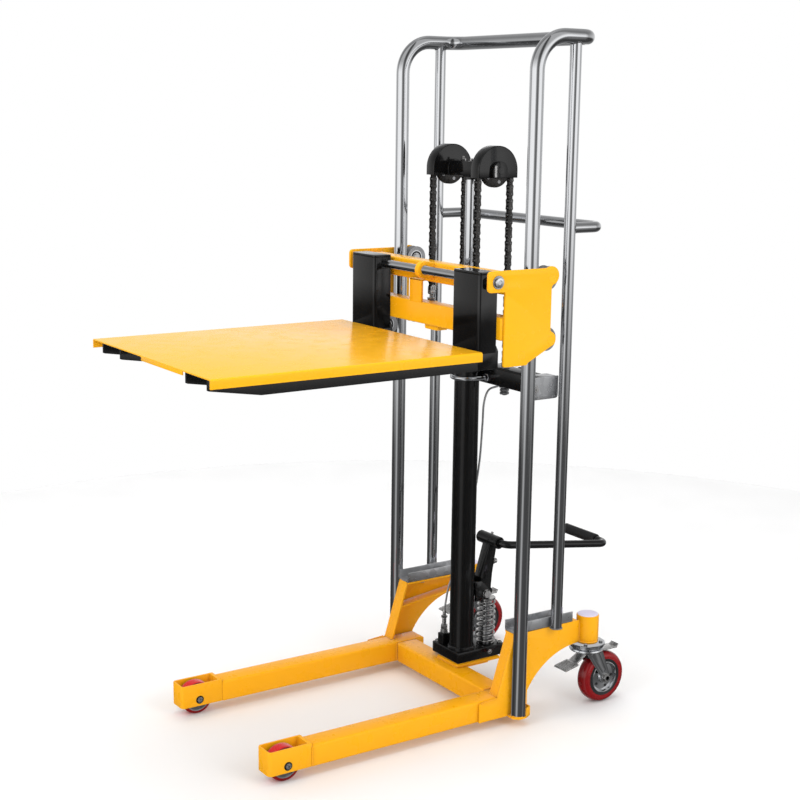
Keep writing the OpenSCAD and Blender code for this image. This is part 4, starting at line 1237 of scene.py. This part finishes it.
def wheel(s):
    o = (238 * s, 262, 62.5)
    tread = Shell()
    tread.add(lathe([(44, -16.2), (50, -17.2), (55.5, -15.8), (59.6, -12.6), (61.8, -7.6), (62.4, 0),
                     (61.8, 7.6), (59.6, 12.6), (55.5, 15.8), (50, 17.2), (44, 16.2)], o, "x", 80,
                    closed=True))
    tread.add(lathe([(36, -14.5), (38, -15.6), (44.6, -16.6), (46.4, -15.6), (46.4, 15.6), (44.6, 16.6),
                     (38, 15.6), (36, 14.5)], o, "x", 72, closed=True), 1)
    for d in (-1, 1):
        tread.add(lathe([(10, 12.5), (18, 11.5), (31.5, 10.5), (33.8, 12), (35.4, 16.4), (36.6, 17.2),
                         (38, 16.4), (37.6, 13), (34, 9), (10, 9)], o, (d, 0, 0), 72, closed=True), 2)
        tread.add(ring(9.5, 15.5, 11.5, 17.4, o, (d, 0, 0), 0.6, 48), 2)
        for i in range(5):
            a = 2 * math.pi * i / 5
            c = Vector(o) + Vector((0, 25 * math.cos(a), 25 * math.sin(a)))
            tread.add(disc(3.4, 10.4, 12.2, c, (d, 0, 0), 0.4, 16), 1)
    tread.add(ring(6.1, 10.2, -17.3, 17.3, o, "x", 0.5, 36), 3)
    return tread


def brake():
    sh = Shell()
    y, z = 235, 130
    plate = [(y + 66, z + 2), (y - 30, z + 2), (y - 62, z - 16), (y - 62, z - 19.4), (y - 28, z - 1),
             (y + 66, z - 1)]
    sh.plate(plate, [1.2, 9, 2, 1, 9, 1.2], 4, "x", 223.5, 252.5)
    pad = [(y - 60, z - 15.4), (y - 98, z - 23.6), (y - 100, z - 26.4), (y - 98.4, z - 28),
           (y - 60, z - 19.8)]
    sh.plate(pad, [1, 2, 1.2, 1, 1], 3, "x", 216.4, 259.6, 1.0, seg=2)
    for i in range(7):
        a = y - 66 - i * 4.6
        h = z - 15.4 - (y - 60 - a) * 0.2158
        sh.add(tube([(219.5, a, h - 0.3), (256.5, a, h - 0.3)], 1.3, 10))
    tail = [(y + 60, z - 1), (y + 66, z - 1), (y + 72, z + 6), (y + 70, z + 8), (y + 63, z + 2)]
    sh.plate(tail, 1, 3, "x", 226, 250, 0.7)
    sh.plate([(y - 27, z - 1), (y - 22, z - 20), (y - 17, z - 1)], [0, 2, 0], 4, "x", 226, 250, 0.8, 1)
    sh.add(ring(3.1, 6, 221, 255, (0, y, z - 0.5), "x", 0.6, 28))
    return sh


for s, tag in ((1, "r"), (-1, "l")):
    leg, pedal = (swivel(), brake()) if s > 0 else (swivel().flipped(), brake().flipped())
    build("caster_fork_%s_shell" % tag, leg, [ROD, BOLT], "caster_fork_" + tag, "swivel_" + tag)
    build("caster_wheel_%s_tyre" % tag, wheel(s), [DARKRED_AND_SIDE_SHADE, PLASTIC, ROD, BOLT], "caster_wheel_" + tag,
          "caster_wheel_" + tag)
    build("caster_brake_%s_pedal" % tag, pedal, [BOLT, RUBBER], "caster_brake_" + tag, "brake_" + tag)

# ---- studio --------------------------------------------------------------

floor_mat = material("studio_floor", (0.90, 0.90, 0.90), 0.7, spread=0.004, scale=2.0)
ground_shape = disc(2400, -6, 0, (0, 0, 0), "z", 4, 96)
me = bpy.data.meshes.new("studio_floor")
me.from_pydata([tuple(W(p)) for p in ground_shape[0]], [], ground_shape[1])
me.materials.append(floor_mat)
ground = bpy.data.objects.new("studio_floor", me)
bpy.context.scene.collection.objects.link(ground)
ground.visible_glossy = False

# The studio: white behind the object, even soft light, and what polished metal reflects, which is a
# bright room above the horizon and a dark floor below it, with the streaks of tall soft boxes.
FRONT = (0.829, -0.559, 0)
RIGHT = (0.559, 0.829, 0)
DIFFUSE_LEVEL = 0.80
world = bpy.data.worlds.new("studio")
bpy.context.scene.world = world
world.use_nodes = True
w = Nodes(world.node_tree)
toward = w.new("ShaderNodeTexCoord").outputs["Generated"]
split = w.new("ShaderNodeSeparateXYZ")
w.link(toward, split.inputs["Vector"])
height = split.outputs["Z"]
bearing = w.math("ARCTAN2", w.vector("DOT_PRODUCT", toward, RIGHT),
                 w.vector("DOT_PRODUCT", toward, FRONT))
around = w.ranged(bearing, -math.pi, math.pi)


def bands(stops):
    """Grey levels by direction: stops are (degrees from the front, to the right positive, and level)."""
    ramp = w.new("ShaderNodeValToRGB")
    points = ramp.color_ramp.elements
    ends = [(points[0], stops[0]), (points[1], stops[-1])]
    for point, (degrees, level) in ends:
        point.position = (degrees + 180) / 360
        point.color = (level, level, level, 1)
    for degrees, level in stops[1:-1]:
        points.new((degrees + 180) / 360).color = (level, level, level, 1)
    w.link(around, ramp.inputs["Fac"])
    return ramp.outputs["Color"]


def between(low, high, to_low=0.0, to_high=1.0):
    """Goes from one level to the other between two elevations in degrees."""
    return w.ranged(height, math.sin(math.radians(low)), math.sin(math.radians(high)), to_low, to_high)


def background(level, color=(1, 1, 1, 1)):
    node = w.new("ShaderNodeBackground")
    for value, socket in ((level, node.inputs["Strength"]), (color, node.inputs["Color"])):
        if isinstance(value, bpy.types.NodeSocket):
            w.link(value, socket)
        else:
            socket.default_value = value
    return node.outputs["Background"]


def choose(ray, other, chosen):
    """The chosen background for this kind of ray, and the other for the rest."""
    node = w.new("ShaderNodeMixShader")
    w.link(rays.outputs[ray], node.inputs["Fac"])
    w.link(other, node.inputs[1])
    w.link(chosen, node.inputs[2])
    return node.outputs["Shader"]


upper = bands([(-180, 0.9), (-120, 0.5), (-95, 0.35), (-82, 1.0), (-24, 1.05), (-8, 0.25), (14, 0.10),
               (24, 0.3), (36, 1.0), (74, 1.0), (92, 0.4), (130, 0.6), (180, 0.9)])
lower = bands([(-180, 0.30), (-125, 0.05), (-100, 0.03), (-75, 0.06), (-52, 0.10), (-38, 0.42),
               (-24, 0.36), (-8, 0.07), (40, 0.06), (66, 0.08), (78, 0.2), (92, 0.06), (125, 0.04),
               (180, 0.30)])
room = background(between(6, 30, 1.0, 0.45), w.mix(lower, upper, between(-12.5, -3.0)))
rays = w.new("ShaderNodeLightPath")
lit = choose("Is Glossy Ray", background(DIFFUSE_LEVEL), room)
w.link(choose("Is Camera Ray", lit, background(1.0)),
       world.node_tree.nodes["World Output"].inputs["Surface"])


def area(name, at, target, size, size_y, power):
    light = bpy.data.lights.new(name, "AREA")
    light.shape = "RECTANGLE"
    light.size = size
    light.size_y = size_y
    light.energy = power
    ob = bpy.data.objects.new(name, light)
    bpy.context.scene.collection.objects.link(ob)
    ob.location = at
    ob.rotation_euler = (Vector(target) - Vector(at)).to_track_quat("-Z", "Y").to_euler()
    ob.visible_glossy = False


# Places and sizes in metres, power in watts.
area("key", (0.6, -3.6, 3.2), (0, 0, 0.7), 2.0, 2.0, 62)
area("side", (3.8, 0.9, 2.2), (0, 0, 0.7), 1.6, 2.4, 46)
area("top", (-0.3, 0.2, 4.4), (0, 0, 0.5), 3.0, 3.0, 70)

# The camera's azimuth, elevation and roll, then its place in millimetres.
az, el, roll = math.radians(56.289), math.radians(11.193), math.radians(0.732)
CAMERA_AT = (2765.5, -2012.6, 1395.9)
level = Vector((math.cos(az), math.sin(az), 0))
back = Vector((math.sin(az) * math.cos(el), -math.cos(az) * math.cos(el), math.sin(el)))
up = back.cross(level)
right, top = level * math.cos(roll) + up * math.sin(roll), up * math.cos(roll) - level * math.sin(roll)
cam = bpy.data.cameras.new("camera")
cam.lens = 66.584
cam.sensor_width = 36.0
cam.clip_end = 200
camera = bpy.data.objects.new("camera", cam)
bpy.context.scene.collection.objects.link(camera)
camera.matrix_world = Matrix.Translation(W(CAMERA_AT)) @ Matrix((right, top, back)).transposed().to_4x4()
bpy.context.scene.camera = camera
bpy.context.scene.view_settings.view_transform = "Standard"
